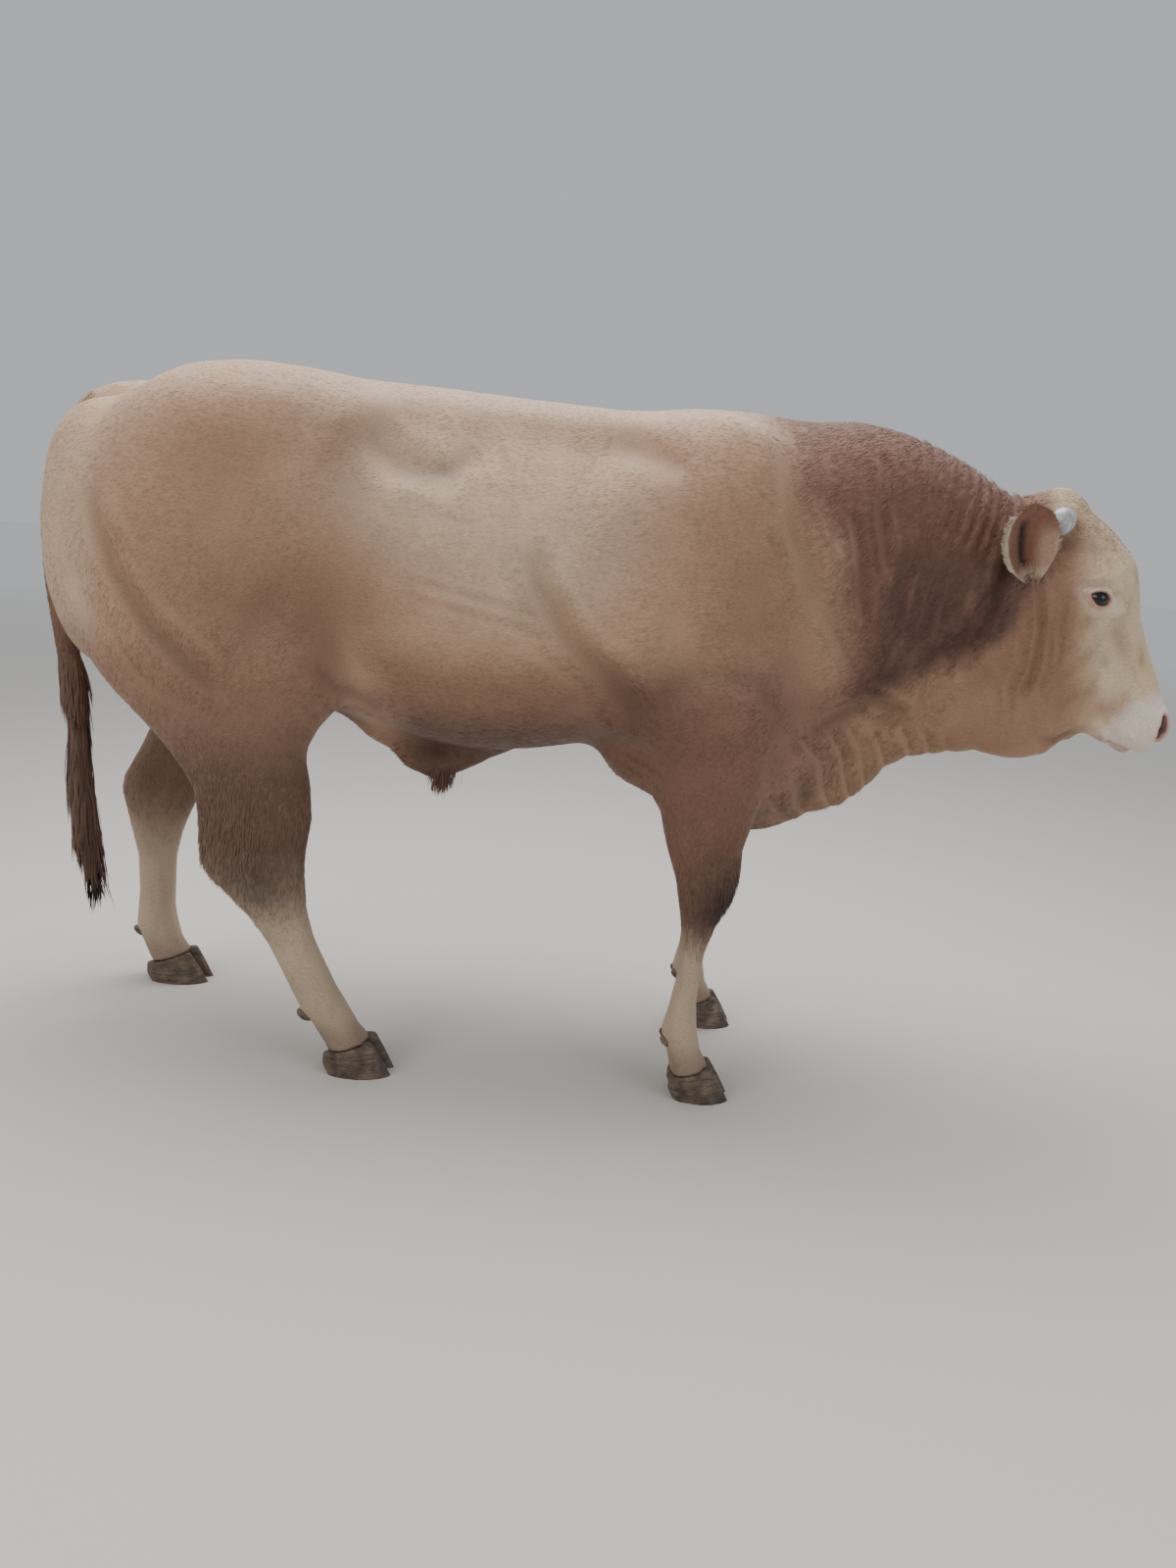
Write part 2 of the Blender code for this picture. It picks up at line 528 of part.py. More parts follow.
def add_head(grid):
    rows = [(row[0], 0.0) + row[1:] for row in HEAD]

    def skull(x, y, z):
        a, s, u = head_axes(x, y, z)
        return sections(a, s, u, rows, HEAD_CAP)

    grid.blend(HEAD_LOW, HEAD_HIGH, 0.055, skull)
    for centre, radii, lean, k in HEAD_FORMS.values():

        def form(x, y, z):
            a, s, u = head_axes(x, y, z)
            a, s, u = turned(a - centre[0], np.abs(s) - centre[1], u - centre[2], lean, 0)
            return ellipsoid(a, s, u, radii)

        grid.blend(HEAD_LOW, HEAD_HIGH, k, form)


def carve_head(grid):
    def mouth(value, x, y, z):
        a, s, u = head_axes(x, y, z)
        away, along = line_distance(a, u, MOUTH)
        return value + MOUTH_DEPTH * np.exp(-(away / MOUTH_HALF) ** 2)

    grid.change(HEAD_LOW, HEAD_HIGH, mouth)


def eye_frame(side):
    """Centre of the eyeball and its outward, forward and upward directions."""
    centre = head_point(EYE_PLACE, side)
    out = unit(head_vector((0.18, 0.95, 0.25), side))
    forward = unit(head_vector((0.75, 0.0, 0.65), side))
    forward = unit(forward - out * (forward @ out))
    return centre, out, forward, np.cross(out, forward) * side


def shape_lids(grid):
    for side in (1, -1):
        centre, out, forward, up = eye_frame(side)

        def lids(value, x, y, z):
            dx, dy, dz = x - centre[0], y - centre[1], z - centre[2]
            f = dx * forward[0] + dy * forward[1] + dz * forward[2]
            h = dx * up[0] + dy * up[1] + dz * up[2]
            o = dx * out[0] + dy * out[1] + dz * out[2]
            almond = np.sqrt((f / EYE_OPENING[0]) ** 2 + (h / EYE_OPENING[1]) ** 2)
            ball = np.sqrt(f * f + h * h + o * o) - EYE_RADIUS
            cover = ball - LID * (1 + 0.6 * np.exp(-((almond - 1.25) / 0.22) ** 2))
            return smooth_min(value, cover, 0.014)

        grid.change(centre - 0.06, centre + 0.06, lids)


def flesh(grid, with_head):
    add_trunk(grid)
    add_legs(grid)
    add_muscles(grid)
    add_soft_parts(grid)
    carve_furrows(grid)
    add_head(grid)
    if with_head:
        carve_head(grid)
        shape_lids(grid)
    return grid


def settle(value):
    """Fills the corners where two sheets of the surface would touch along an edge."""
    while True:
        found = 0
        for axis in range(3):
            view = np.moveaxis(value, axis, 0)
            corners = (view[:, :-1, :-1], view[:, 1:, :-1], view[:, 1:, 1:], view[:, :-1, 1:])
            signs = [corner < 0 for corner in corners]
            crossed = (signs[0] == signs[2]) & (signs[1] == signs[3]) & (signs[0] != signs[1])
            found += crossed.sum()
            for corner, sign in zip(corners, signs):
                corner[crossed & ~sign] = -1e-5
        if not found:
            return


def surface(grid):
    """Vertices and faces where the distance changes sign, one vertex to a cell."""
    value = grid.value
    settle(value)
    inside = value < 0
    corner = [(i, j, k) for i in (0, 1) for j in (0, 1) for k in (0, 1)]
    shape = np.array(value.shape) - 1
    total = np.zeros(shape, int)
    for i, j, k in corner:
        total += inside[i:shape[0] + i, j:shape[1] + j, k:shape[2] + k]
    cells = np.argwhere((total > 0) & (total < 8))
    point = np.zeros((len(cells), 3))
    hits = np.zeros(len(cells))
    for first in range(8):
        for axis in range(3):
            if corner[first][axis]:
                continue
            second = list(corner[first])
            second[axis] = 1
            a = cells + corner[first]
            b = cells + second
            va = value[a[:, 0], a[:, 1], a[:, 2]]
            vb = value[b[:, 0], b[:, 1], b[:, 2]]
            cross = (va < 0) != (vb < 0)
            t = np.where(cross, va / np.where(cross, va - vb, 1), 0)
            point += np.where(cross[:, None], a + t[:, None] * (b - a), 0)
            hits += cross
    point = grid.low + grid.cell * point / hits[:, None]
    number = np.full(shape, -1)
    number[cells[:, 0], cells[:, 1], cells[:, 2]] = np.arange(len(cells))
    faces = []
    for axis in range(3):
        ahead = np.zeros(3, int)
        ahead[axis] = 1
        size = np.array(value.shape) - ahead
        low = inside[:size[0], :size[1], :size[2]]
        high = inside[ahead[0]:, ahead[1]:, ahead[2]:]
        edge = np.argwhere(low != high)
        one, two = [np.eye(3, dtype=int)[n] for n in ((axis + 1) % 3, (axis + 2) % 3)]
        keep = (edge @ one > 0) & (edge @ two > 0) & (edge @ one < shape @ one) & (edge @ two < shape @ two)
        edge = edge[keep]
        ring = np.stack([
            number[tuple((edge - one - two).T)], number[tuple((edge - two).T)],
            number[tuple(edge.T)], number[tuple((edge - one).T)]], axis=1)
        outward = low[tuple(edge.T)]
        ring[~outward] = ring[~outward][:, ::-1]
        faces.append(ring)
    return point, np.concatenate(faces)


def make_object(name, points, faces):
    mesh = bpy.data.meshes.new(name)
    mesh.from_pydata([tuple(map(float, p)) for p in points], [], [tuple(map(int, f)) for f in faces])
    mesh.validate()
    obj = bpy.data.objects.new(name, mesh)
    bpy.context.scene.collection.objects.link(obj)
    return obj


def apply_modifier(obj, kind, **settings):
    modifier = obj.modifiers.new(kind.lower(), kind)
    for key, setting in settings.items():
        setattr(modifier, key, setting)
    bpy.ops.object.select_all(action="DESELECT")
    bpy.context.view_layer.objects.active = obj
    obj.select_set(True)
    bpy.ops.object.modifier_apply(modifier=modifier.name)
    obj.select_set(False)


def folded_edges(obj):
    """How many edges have more than two faces."""
    shape = bmesh.new()
    shape.from_mesh(obj.data)
    count = sum(len(edge.link_faces) > 2 for edge in shape.edges)
    shape.free()
    return count


def thin(obj, faces, fine=()):
    """Fewer triangles, finest near the given places, with no face folded onto another."""
    apply_modifier(obj, "TRIANGULATE")
    group = obj.vertex_groups.new(name="plain")
    spots = np.array([v.co for v in obj.data.vertices])
    away = np.full(len(spots), DETAIL_REACH)
    for place in fine:
        away = np.minimum(away, np.linalg.norm(spots - place, axis=1))
    for n, share in enumerate(away / DETAIL_REACH):
        group.add([n], share, "REPLACE")
    full = obj.data.copy()
    for attempt in range(8):
        apply_modifier(
            obj, "DECIMATE", ratio=(faces - 37 * attempt) / len(full.polygons), vertex_group=group.name,
            vertex_group_factor=DETAIL_HOLD if len(fine) else 0.0)
        if not folded_edges(obj):
            break
        obj.data = full.copy()
    obj.vertex_groups.clear()
    bpy.data.meshes.remove(full)


def boolean(obj, others, operation):
    """Adds the other solids to an object, or takes them from it, in one step."""
    group = bpy.data.collections.new("tools")
    bpy.context.scene.collection.children.link(group)
    for other in others:
        group.objects.link(other)
    apply_modifier(
        obj, "BOOLEAN", operation=operation, operand_type="COLLECTION", collection=group, solver="MANIFOLD")
    for other in others:
        bpy.data.objects.remove(other)
    bpy.data.collections.remove(group)


def copy_of(obj, name):
    twin = obj.copy()
    twin.data = obj.data.copy()
    twin.name = name
    bpy.context.scene.collection.objects.link(twin)
    return twin


def grown(obj, amount):
    """A copy pushed out along its normals, for cutting a socket."""
    twin = copy_of(obj, obj.name + "_socket")
    shape = bmesh.new()
    shape.from_mesh(twin.data)
    shape.normal_update()
    moves = []
    for vert in shape.verts:
        stretch = max(sum(vert.normal.dot(f.normal) for f in vert.link_faces) / len(vert.link_faces), 0.5)
        moves.append(vert.co + vert.normal * amount / stretch)
    for vert, place in zip(shape.verts, moves):
        vert.co = place
    shape.to_mesh(twin.data)
    shape.free()
    return twin


def keep_largest(obj):
    """Leaves only the largest closed surface, in triangles."""
    shape = bmesh.new()
    shape.from_mesh(obj.data)
    left = set(shape.verts)
    best = []
    while left:
        stack = [left.pop()]
        island = []
        while stack:
            vert = stack.pop()
            island.append(vert)
            for edge in vert.link_edges:
                other = edge.other_vert(vert)
                if other in left:
                    left.remove(other)
                    stack.append(other)
        if len(island) > len(best):
            best = island
    best = set(best)
    bmesh.ops.delete(shape, geom=[v for v in shape.verts if v not in best], context="VERTS")
    bmesh.ops.triangulate(shape, faces=shape.faces)
    bmesh.ops.recalc_face_normals(shape, faces=shape.faces)
    shape.to_mesh(obj.data)
    shape.free()


def cut_plane(obj, point, normal):
    """Removes what lies beyond a plane and closes the cut with a flat face."""
    shape = bmesh.new()
    shape.from_mesh(obj.data)
    cut = bmesh.ops.bisect_plane(
        shape, geom=shape.verts[:] + shape.edges[:] + shape.faces[:], dist=1e-6,
        plane_co=Vector(point), plane_no=Vector(normal), clear_outer=True)
    edges = [e for e in cut["geom_cut"] if isinstance(e, bmesh.types.BMEdge)]
    bmesh.ops.triangle_fill(shape, edges=edges, use_beauty=True, use_dissolve=False)
    shape.to_mesh(obj.data)
    shape.free()
    keep_largest(obj)


def path_at(rows, t):
    """Point and radius on a smooth path, t from 0 to 1 by row."""
    keys = np.linspace(0, 1, len(rows))
    found = rows_at(np.array([t]), [(k,) + tuple(row) for k, row in zip(keys, rows)])
    return np.array([value[0] for value in found])


def tube(name, rows, sides, rings, flat=1.0):
    """A closed round bar along a smooth path."""
    points = []
    for n in range(rings + 1):
        here = path_at(rows, n / rings)
        ahead = path_at(rows, min(n / rings + 0.01, 1)) - path_at(rows, max(n / rings - 0.01, 0))
        along = unit(ahead[:3])
        side = np.array((0.0, 1.0, 0.0))
        other = unit(np.cross(along, side))
        side = np.cross(other, along)
        for m in range(sides):
            angle = 2 * math.pi * m / sides
            points.append(here[:3] + here[3] * (flat * math.cos(angle) * side + math.sin(angle) * other))
    faces = []
    for n in range(rings):
        for m in range(sides):
            a, b = n * sides + m, n * sides + (m + 1) % sides
            faces.append((a, b, b + sides, a + sides))
    faces.append(tuple(range(sides - 1, -1, -1)))
    faces.append(tuple(rings * sides + m for m in range(sides)))
    obj = make_object(name, points, faces)
    apply_modifier(obj, "TRIANGULATE")
    keep_largest(obj)
    return obj


def ball(name, centre, radii, axes, rings, sides):
    """A closed oval with its own three directions."""
    points = [np.array(centre) + radii[2] * axes[2]]
    for n in range(1, rings):
        tilt = math.pi * n / rings
        for m in range(sides):
            turn = 2 * math.pi * m / sides
            points.append(
                np.array(centre) + radii[0] * math.sin(tilt) * math.cos(turn) * axes[0]
                + radii[1] * math.sin(tilt) * math.sin(turn) * axes[1] + radii[2] * math.cos(tilt) * axes[2])
    points.append(np.array(centre) - radii[2] * axes[2])
    faces = []
    last = len(points) - 1
    for m in range(sides):
        after = (m + 1) % sides
        faces.append((0, 1 + m, 1 + after))
        faces.append((last, 1 + (rings - 2) * sides + after, 1 + (rings - 2) * sides + m))
        for n in range(rings - 2):
            a, b = 1 + n * sides + m, 1 + n * sides + after
            faces.append((a, a + sides, b + sides, b))
    obj = make_object(name, points, faces)
    keep_largest(obj)
    return obj


def make_flesh():
    """The whole animal without horn, claw, ear and tail, coarse, and the head again, fine."""
    body_grid = flesh(Grid((-1.32, -0.44, -0.02), (1.36, 0.44, 1.64), BODY_CELL), False)
    body = make_object("torso", *surface(body_grid))
    apply_modifier(body, "SMOOTH", factor=0.5, iterations=2)
    thin(body, BODY_FACES)
    head_grid = flesh(Grid((0.72, -0.36, 0.76), (1.36, 0.18, 1.50), HEAD_CELL), True)
    head = make_object("head", *surface(head_grid))
    apply_modifier(head, "SMOOTH", factor=0.5, iterations=1)
    places = []
    for side in (1, -1):
        places += [head_point(EYE_PLACE, side), head_point(NOSTRIL[1][:3], side)]
        places += [head_point((a, 0.05, u), side) for a, u in MOUTH]
    thin(head, HEAD_FACES, places)
    return body, head


def prism(name, outline, y_near, y_far, margin=0.0):
    """An outline in x and z drawn out along y, widened by a margin."""
    middle = np.mean(outline, axis=0)
    low, high = sorted((y_near, y_far))
    ring = [np.array(point) + margin * np.sign(np.array(point) - middle) for point in outline]
    count = len(ring)
    points = [(x, low, z) for x, z in ring] + [(x, high, z) for x, z in ring]
    faces = [tuple(range(count)), tuple(range(2 * count - 1, count - 1, -1))]
    for n in range(count):
        after = (n + 1) % count
        faces.append((n, n + count, after + count, after))
    obj = make_object(name, points, faces)
    keep_largest(obj)
    return obj


def part_flesh(body, head):
    """Torso, neck, head and legs, parted with cuts as wide as the gap."""
    half = GAP / 2
    cut_plane(head, np.array(HEAD_CUT) + half * HEAD_CUT_NORMAL, -HEAD_CUT_NORMAL)
    cut_plane(body, np.array(HEAD_CUT) - half * HEAD_CUT_NORMAL, HEAD_CUT_NORMAL)
    neck = copy_of(body, "neck")
    cut_plane(neck, np.array(NECK_CUT) + half * NECK_CUT_NORMAL, -NECK_CUT_NORMAL)
    cut_plane(body, np.array(NECK_CUT) - half * NECK_CUT_NORMAL, NECK_CUT_NORMAL)
    legs = []
    cutters = []
    for name, table, side, shift in LEGS:
        fore = name.startswith("fore")
        outline = FORE_OUTLINE if fore else HIND_OUTLINE
        inner = FORE_INNER if fore else HIND_INNER
        leg = copy_of(body, name)
        boolean(leg, [prism("leg_block", outline, side * inner, side * 0.5)], "INTERSECT")
        keep_largest(leg)
        legs.append(leg)
        cutters.append(prism("leg_room", outline, side * (inner - GAP), side * 0.5, GAP))
    boolean(body, cutters, "DIFFERENCE")
    keep_largest(body)
    return neck, legs


def make_claws(leg, table, side, shift):
    """Two claws on one foot, and the leg ended above them."""
    z, back, front, y, half = table[1]
    back, front = back + shift, front + shift
    middle = (front + back) / 2
    slope = Vector((-CORONET_SLOPE, 0, 1)).normalized()
    cut_plane(leg, (middle, side * y, CORONET), -slope)
    claws = []
    for inner in (1, -1):
        centre_y = side * y + inner * (CLAW_WIDTH + CLAW_SPREAD) / 2
        rings = []
        for level in CLAW_LEVELS:
            toe = front + (1 - level) * TOE_REACH
            heel = back + (1 - level) * HEEL_REACH - HEEL_BULGE * math.sin(math.pi * level)
            spread = 1 + CLAW_FLARE * (1 - level)
            ring = []
            for m in range(CLAW_SIDES):
                c = math.cos(2 * math.pi * m / CLAW_SIDES)
                s = math.sin(2 * math.pi * m / CLAW_SIDES)
                px = (toe + heel) / 2 + (toe - heel) / 2 * c
                width = CLAW_WIDTH / 2 * spread * (1 - TOE_TAPER * max(c, 0) ** 2)
                width *= CLAW_INNER if s * inner < 0 else CLAW_OUTER
                across = width * math.copysign(abs(s) ** 0.8, s)
                across -= inner * TOE_TURN * max(c, 0) ** 2 * (1 - level)
                top = CORONET - GAP / slope.z + CORONET_SLOPE * (px - middle)
                ring.append((px, centre_y + across, level * top))
            rings.append(ring)
        side_name = "outer" if inner * side > 0 else "inner"
        claws.append(ringed(f"{leg.name.replace('leg', 'claw')}_{side_name}", rings))
    return claws


def make_dewclaws(leg, table, side, shift):
    """Two small horny cones behind the fetlock."""
    z, back, front, y, half = table[3]
    dewclaws = []
    for inner in (1, -1):
        centre = np.array((back + shift + DEWCLAW_IN, side * y + inner * DEWCLAW_APART, z - DEWCLAW_IN))
        axes = [unit((0.5, 0, 0.85)), np.array((0.0, 1.0, 0.0)), unit((-0.85, 0, 0.5))]
        side_name = "outer" if inner * side > 0 else "inner"
        claw = ball(f"{leg.name.replace('leg', 'dewclaw')}_{side_name}", centre, DEWCLAW_RADII, axes, 6, 8)
        boolean(leg, [grown(claw, GAP)], "DIFFERENCE")
        keep_largest(leg)
        dewclaws.append(claw)
    return dewclaws


def ringed(name, rings):
    """A closed solid from rings of points, each the same length."""
    count = len(rings[0])
    points = [point for ring in rings for point in ring]
    last = len(points) - count
    faces = [tuple(range(count - 1, -1, -1)), tuple(range(last, len(points)))]
    for n in range(len(rings) - 1):
        for m in range(count):
            a, b = n * count + m, n * count + (m + 1) % count
            faces.append((a, b, b + count, a + count))
    obj = make_object(name, points, faces)
    keep_largest(obj)
    return obj


def lid_opening(side):
    """The almond between the lids, from inside the eyeball out."""
    centre, out, forward, up = eye_frame(side)
    rings = []
    for depth, spread in ((0.35, 0.85), (0.85, 1.00), (1.70, 1.40)):
        ring = []
        for n in range(20):
            c, s = math.cos(math.pi * n / 10), math.sin(math.pi * n / 10)
            f = EYE_OPENING[0] * spread * c
            h = EYE_OPENING[1] * spread * math.copysign(abs(s) ** 1.3, s)
            ring.append(centre + forward * f + up * h + out * EYE_RADIUS * depth)
        rings.append(ring)
    return ringed("lid_opening", rings)


def open_nostrils(head):
    for side in (1, -1):
        rows = [tuple(head_point(place[:3], side)) + place[3:] for place in NOSTRIL]
        inside = head_point(NOSTRIL_INSIDE[:3], side)
        radius = NOSTRIL_INSIDE[3]
        axes = (HEAD_ALONG, HEAD_LEFT, HEAD_UP)
        pit = ball("nostril_inside", inside, (radius * 1.5, radius, radius), axes, 6, 10)
        boolean(head, [tube("nostril", rows, 8, 5), pit], "DIFFERENCE")
        keep_largest(head)


def make_eyes(head):
    eyes = []
    for side, name in ((1, "eye_left"), (-1, "eye_right")):
        centre, out, forward, up = eye_frame(side)
        eye = ball(name, centre, (EYE_RADIUS, EYE_RADIUS, EYE_RADIUS), (forward, up, out), 9, 14)
        boolean(head, [grown(eye, GAP), lid_opening(side)], "DIFFERENCE")
        keep_largest(head)
        eyes.append(eye)
    return eyes


def make_horn_buds(head):
    buds = []
    for side, name in ((1, "horn_bud_left"), (-1, "horn_bud_right")):
        rows = [tuple(head_point(place[:3], side)) + place[3:] for place in HORN]
        bud = tube(name, rows, HORN_SIDES, HORN_RINGS, HORN_FLAT)
        boolean(head, [grown(bud, GAP)], "DIFFERENCE")
        keep_largest(head)
        buds.append(bud)
    return buds


def ear_frame(side):
    """Root of the ear, its length, and its directions: along, across and out of the cup."""
    base = head_point(EAR_BASE, side)
    axis = head_point(EAR_TIP, side) - base
    long = np.linalg.norm(axis)
    axis = axis / long
    face = head_vector(EAR_FACE, side)
    face = unit(face - axis * (face @ axis))
    return base, long, axis, np.cross(axis, face), face


def make_ear(name, side, hollow=True):
    """A cupped leaf, deep near the root and shallow at the tip, its hollow side out."""
    base, long, axis, across, face = ear_frame(side)
    columns, ranks = EAR_COLUMNS, EAR_RANKS
    inner, outer = [], []
    for n in range(ranks + 1):
        u = n / ranks
        wide = EAR_WIDTH / 2 * np.interp(u, EAR_SHAPE[0], EAR_SHAPE[1])
        cup = np.interp(u, EAR_SHAPE[0], EAR_SHAPE[2])
        for m in range(columns + 1):
            v = 2 * m / columns - 1
            place = base + axis * long * u + across * wide * v - face * cup * (1 - v * v)
            normal = unit(face - across * 2 * cup * v / max(wide, 0.012))
            inner.append(place if hollow else place + face * cup * (1 - v * v))
            outer.append(place - normal * EAR_THICK * (1 - 0.4 * abs(v) ** 3) * (1.2 - 0.5 * u))
    points = inner + outer
    row = columns + 1
    shift = len(inner)
    faces = []
    for n in range(ranks):
        for m in range(columns):
            a = n * row + m
            faces.append((a, a + 1, a + row + 1, a + row))
            faces.append((shift + a, shift + a + row, shift + a + row + 1, shift + a + 1))
        for a, b in ((n * row, (n + 1) * row), ((n + 1) * row + columns, n * row + columns)):
            faces.append((a, b, shift + b, shift + a))
    for m in range(columns):
        faces.append((m + 1, m, shift + m, shift + m + 1))
        a = ranks * row + m
        faces.append((a, a + 1, shift + a + 1, shift + a))
    obj = make_object(name, points, faces)
    keep_largest(obj)
    return obj


def make_ears(head, neck):
    ears = []
    for side, name in ((1, "ear_left"), (-1, "ear_right")):
        ear = make_ear(name, side)
        boolean(ear, [ear_root(side)], "UNION")
        keep_largest(ear)
        for flesh_node in (head, neck):
            filled = make_ear("ear_filled", side, hollow=False)
            room = grown(filled, 1.5 * GAP)
            bpy.data.objects.remove(filled)
            boolean(flesh_node, [grown(ear, GAP), room], "DIFFERENCE")
            keep_largest(flesh_node)
        ears.append(ear)
    return ears


def ear_root(side):
    """The tapered stub from inside the head to the back of the ear's cup."""
    base, long, axis, across, face = ear_frame(side)
    start = head_point(EAR_ROOT, side)
    end = base + axis * EAR_ROOT_RISE - face * EAR_ROOT_DEPTH
    rows = [tuple(start + (end - start) * part) + (radius,) for part, radius in EAR_ROOT_TAPER]
    return tube("ear_root", rows, 12, 6)


def lock(name, root, lie, out, length, width, bend, twist):
    """A flat tapered lock of hair that leaves its root along lie and bends away along out."""
    side = np.cross(lie, out)
    steps = len(LOCK_SHAPE)
    points = []
    for n, (part, wide, thick) in enumerate(LOCK_SHAPE):
        centre = root + lie * length * part + out * (bend[0] * part + bend[1] * part ** 2) * length
        centre = centre + side * twist * length * part ** 2
        angle = 0.5 * twist * part * math.pi
        flat = side * math.cos(angle) + out * math.sin(angle)
        rise = out * math.cos(angle) - side * math.sin(angle)
        if n == steps - 1:
            points.append(centre)
        else:
            points += [
                centre + flat * width / 2 * wide, centre + rise * LOCK_THICK / 2 * thick,
                centre - flat * width / 2 * wide, centre - rise * LOCK_THICK / 2 * thick]
    tip = len(points) - 1
    faces = [(3, 2, 1, 0)]
    for n in range(steps - 2):
        for m in range(4):
            a, b = 4 * n + m, 4 * n + (m + 1) % 4
            faces.append((a, b, b + 4, a + 4))
    for m in range(4):
        faces.append((tip - 4 + m, tip - 4 + (m + 1) % 4, tip))
    obj = make_object(name, points, faces)
    keep_largest(obj)
    return obj


def make_switch():
    """A core with overlapping locks that hang from it and close to a point."""
    chance = random.Random(11)
    core = tube("tail_switch", SWITCH_CORE, 7, 6, 0.9)
    locks = []
    for tier, (part, count, length) in enumerate(SWITCH_TIERS):
        for n in range(count):
            turn = 2 * math.pi * (n + 0.5 * (tier % 2) + chance.uniform(-0.18, 0.18)) / count
            here = path_at(SWITCH_CORE, min(max(part + chance.uniform(-0.03, 0.03), 0.0), 1.0))
            ahead = path_at(SWITCH_CORE, min(part + 0.08, 1.0)) - path_at(SWITCH_CORE, max(part - 0.02, 0.0))
            lie = unit(ahead[:3])
            out = np.array((math.cos(turn), math.sin(turn), 0.0))
            out = unit(out - lie * (out @ lie))
            root = here[:3] + out * here[3] * 0.55
            locks.append(lock(
                "lock", root, lie, out, length * chance.uniform(0.9, 1.12), chance.uniform(0.036, 0.046),
                (chance.uniform(0.20, 0.27), -chance.uniform(0.19, 0.27)), chance.uniform(-0.10, 0.10)))
    boolean(core, locks, "UNION")
    keep_largest(core)
    return core


def make_tail(body):
    tail = tube("tail", TAIL, TAIL_SIDES, 18, 0.92)
    boolean(body, [grown(tail, GAP)], "DIFFERENCE")
    keep_largest(body)
    switch = make_switch()
    level = TAIL[-1][2] + 0.010
    cut_plane(tail, (0, 0, level + GAP / 2), (0, 0, -1))
    cut_plane(switch, (0, 0, level - GAP / 2), (0, 0, 1))
    return tail, switch


def make_sheath(body):
    """The end of the sheath with its tuft of hair."""
    chance = random.Random(5)
    sheath = tube("sheath", SHEATH, 12, 6, 1.0)
    boolean(body, [grown(sheath, GAP)], "DIFFERENCE")
    keep_largest(body)
    locks = []
    for n in range(SHEATH_LOCKS):
        turn = 2 * math.pi * (n + chance.uniform(-0.2, 0.2)) / SHEATH_LOCKS
        lie = unit((0.16 + 0.18 * math.cos(turn), 0.18 * math.sin(turn), -1.0))
        out = np.array((math.cos(turn), math.sin(turn), 0.0))
        out = unit(out - lie * (out @ lie))
        root = np.array(SHEATH[-1][:3]) + np.array((-0.004, 0.0, 0.004)) + out * 0.009
        locks.append(lock(
            "lock", root, lie, out, chance.uniform(0.060, 0.078), chance.uniform(0.010, 0.014),
            (0.10, -chance.uniform(0.05, 0.16)), chance.uniform(-0.15, 0.15)))
    boolean(sheath, locks, "UNION")
    keep_largest(sheath)
    return sheath


def make_scrotum(body):
    rows = [(x, 0.0, z, r) for x, z, r in SCROTUM]
    bag = tube("scrotum", rows, 12, 9, 1.15)
    boolean(body, [grown(bag, GAP)], "DIFFERENCE")
    keep_largest(body)
    return bag


def paint(obj, name, colour, roughness):
    material = bpy.data.materials.get(name) or bpy.data.materials.new(name)
    material.use_nodes = True
    shader = material.node_tree.nodes["Principled BSDF"]
    linear = [((c / 255 + 0.055) / 1.055) ** 2.4 for c in colour]
    shader.inputs["Base Color"].default_value = (*linear, 1.0)
    shader.inputs["Roughness"].default_value = roughness
    shader.inputs["Metallic"].default_value = 0.0
    obj.data.materials.clear()
    obj.data.materials.append(material)
    for face in obj.data.polygons:
        face.use_smooth = False


COLOURS = {
    "torso": ((196, 150, 108), 0.85),
    "neck": ((128, 82, 62), 0.85),
    "head": ((196, 168, 132), 0.80),
    "tail": ((176, 130, 94), 0.85),
    "tail_switch": ((120, 88, 66), 0.90),
    "foreleg": ((188, 150, 114), 0.85),
    "hindleg": ((188, 150, 114), 0.85),
    "foreclaw": ((112, 92, 72), 0.45),
    "hindclaw": ((112, 92, 72), 0.45),
    "foredewclaw": ((98, 80, 62), 0.50),
    "hinddewclaw": ((98, 80, 62), 0.50),
    "eye": ((26, 20, 18), 0.12),
    "horn_bud": ((196, 200, 204), 0.40),
    "ear": ((150, 108, 84), 0.85),
    "scrotum": ((190, 140, 120), 0.70),
    "sheath": ((180, 132, 100), 0.85),
}


def finish(nodes):
    """Names, colours, and the origin under the middle of the animal."""
    for obj in nodes:
        keys = [key for key in COLOURS if obj.name == key or obj.name.startswith(key + "_")]
        key = max(keys, key=len)
        colour, roughness = COLOURS[key]
        paint(obj, obj.name + "_finish", colour, roughness)
        obj.data.name = obj.name
    spots = np.array([v.co for obj in nodes for v in obj.data.vertices])
    low, high = spots.min(axis=0), spots.max(axis=0)
    shift = Vector((-(low[0] + high[0]) / 2, -(low[1] + high[1]) / 2, -low[2]))
    for obj in nodes:
        obj.data.transform(Matrix.Translation(shift))
        print(obj.name, len(obj.data.polygons))
    print("moved", tuple(round(v, 5) for v in shift), "size", (high - low).round(4))
    print("faces", sum(len(obj.data.polygons) for obj in nodes))


def build():
    for obj in list(bpy.data.objects):
        bpy.data.objects.remove(obj)
    body, head = make_flesh()
    tail, switch = make_tail(body)
    sheath = make_sheath(body)
    scrotum = make_scrotum(body)
    neck, legs = part_flesh(body, head)
    nodes = [body, neck, head, tail, switch, sheath, scrotum] + legs
    for leg, (name, table, side, shift) in zip(legs, LEGS):
        nodes += make_claws(leg, table, side, shift)
        nodes += make_dewclaws(leg, table, side, shift)
    open_nostrils(head)
    nodes += make_eyes(head)
    nodes += make_horn_buds(head)
    nodes += make_ears(head, neck)
    finish(nodes)


build()
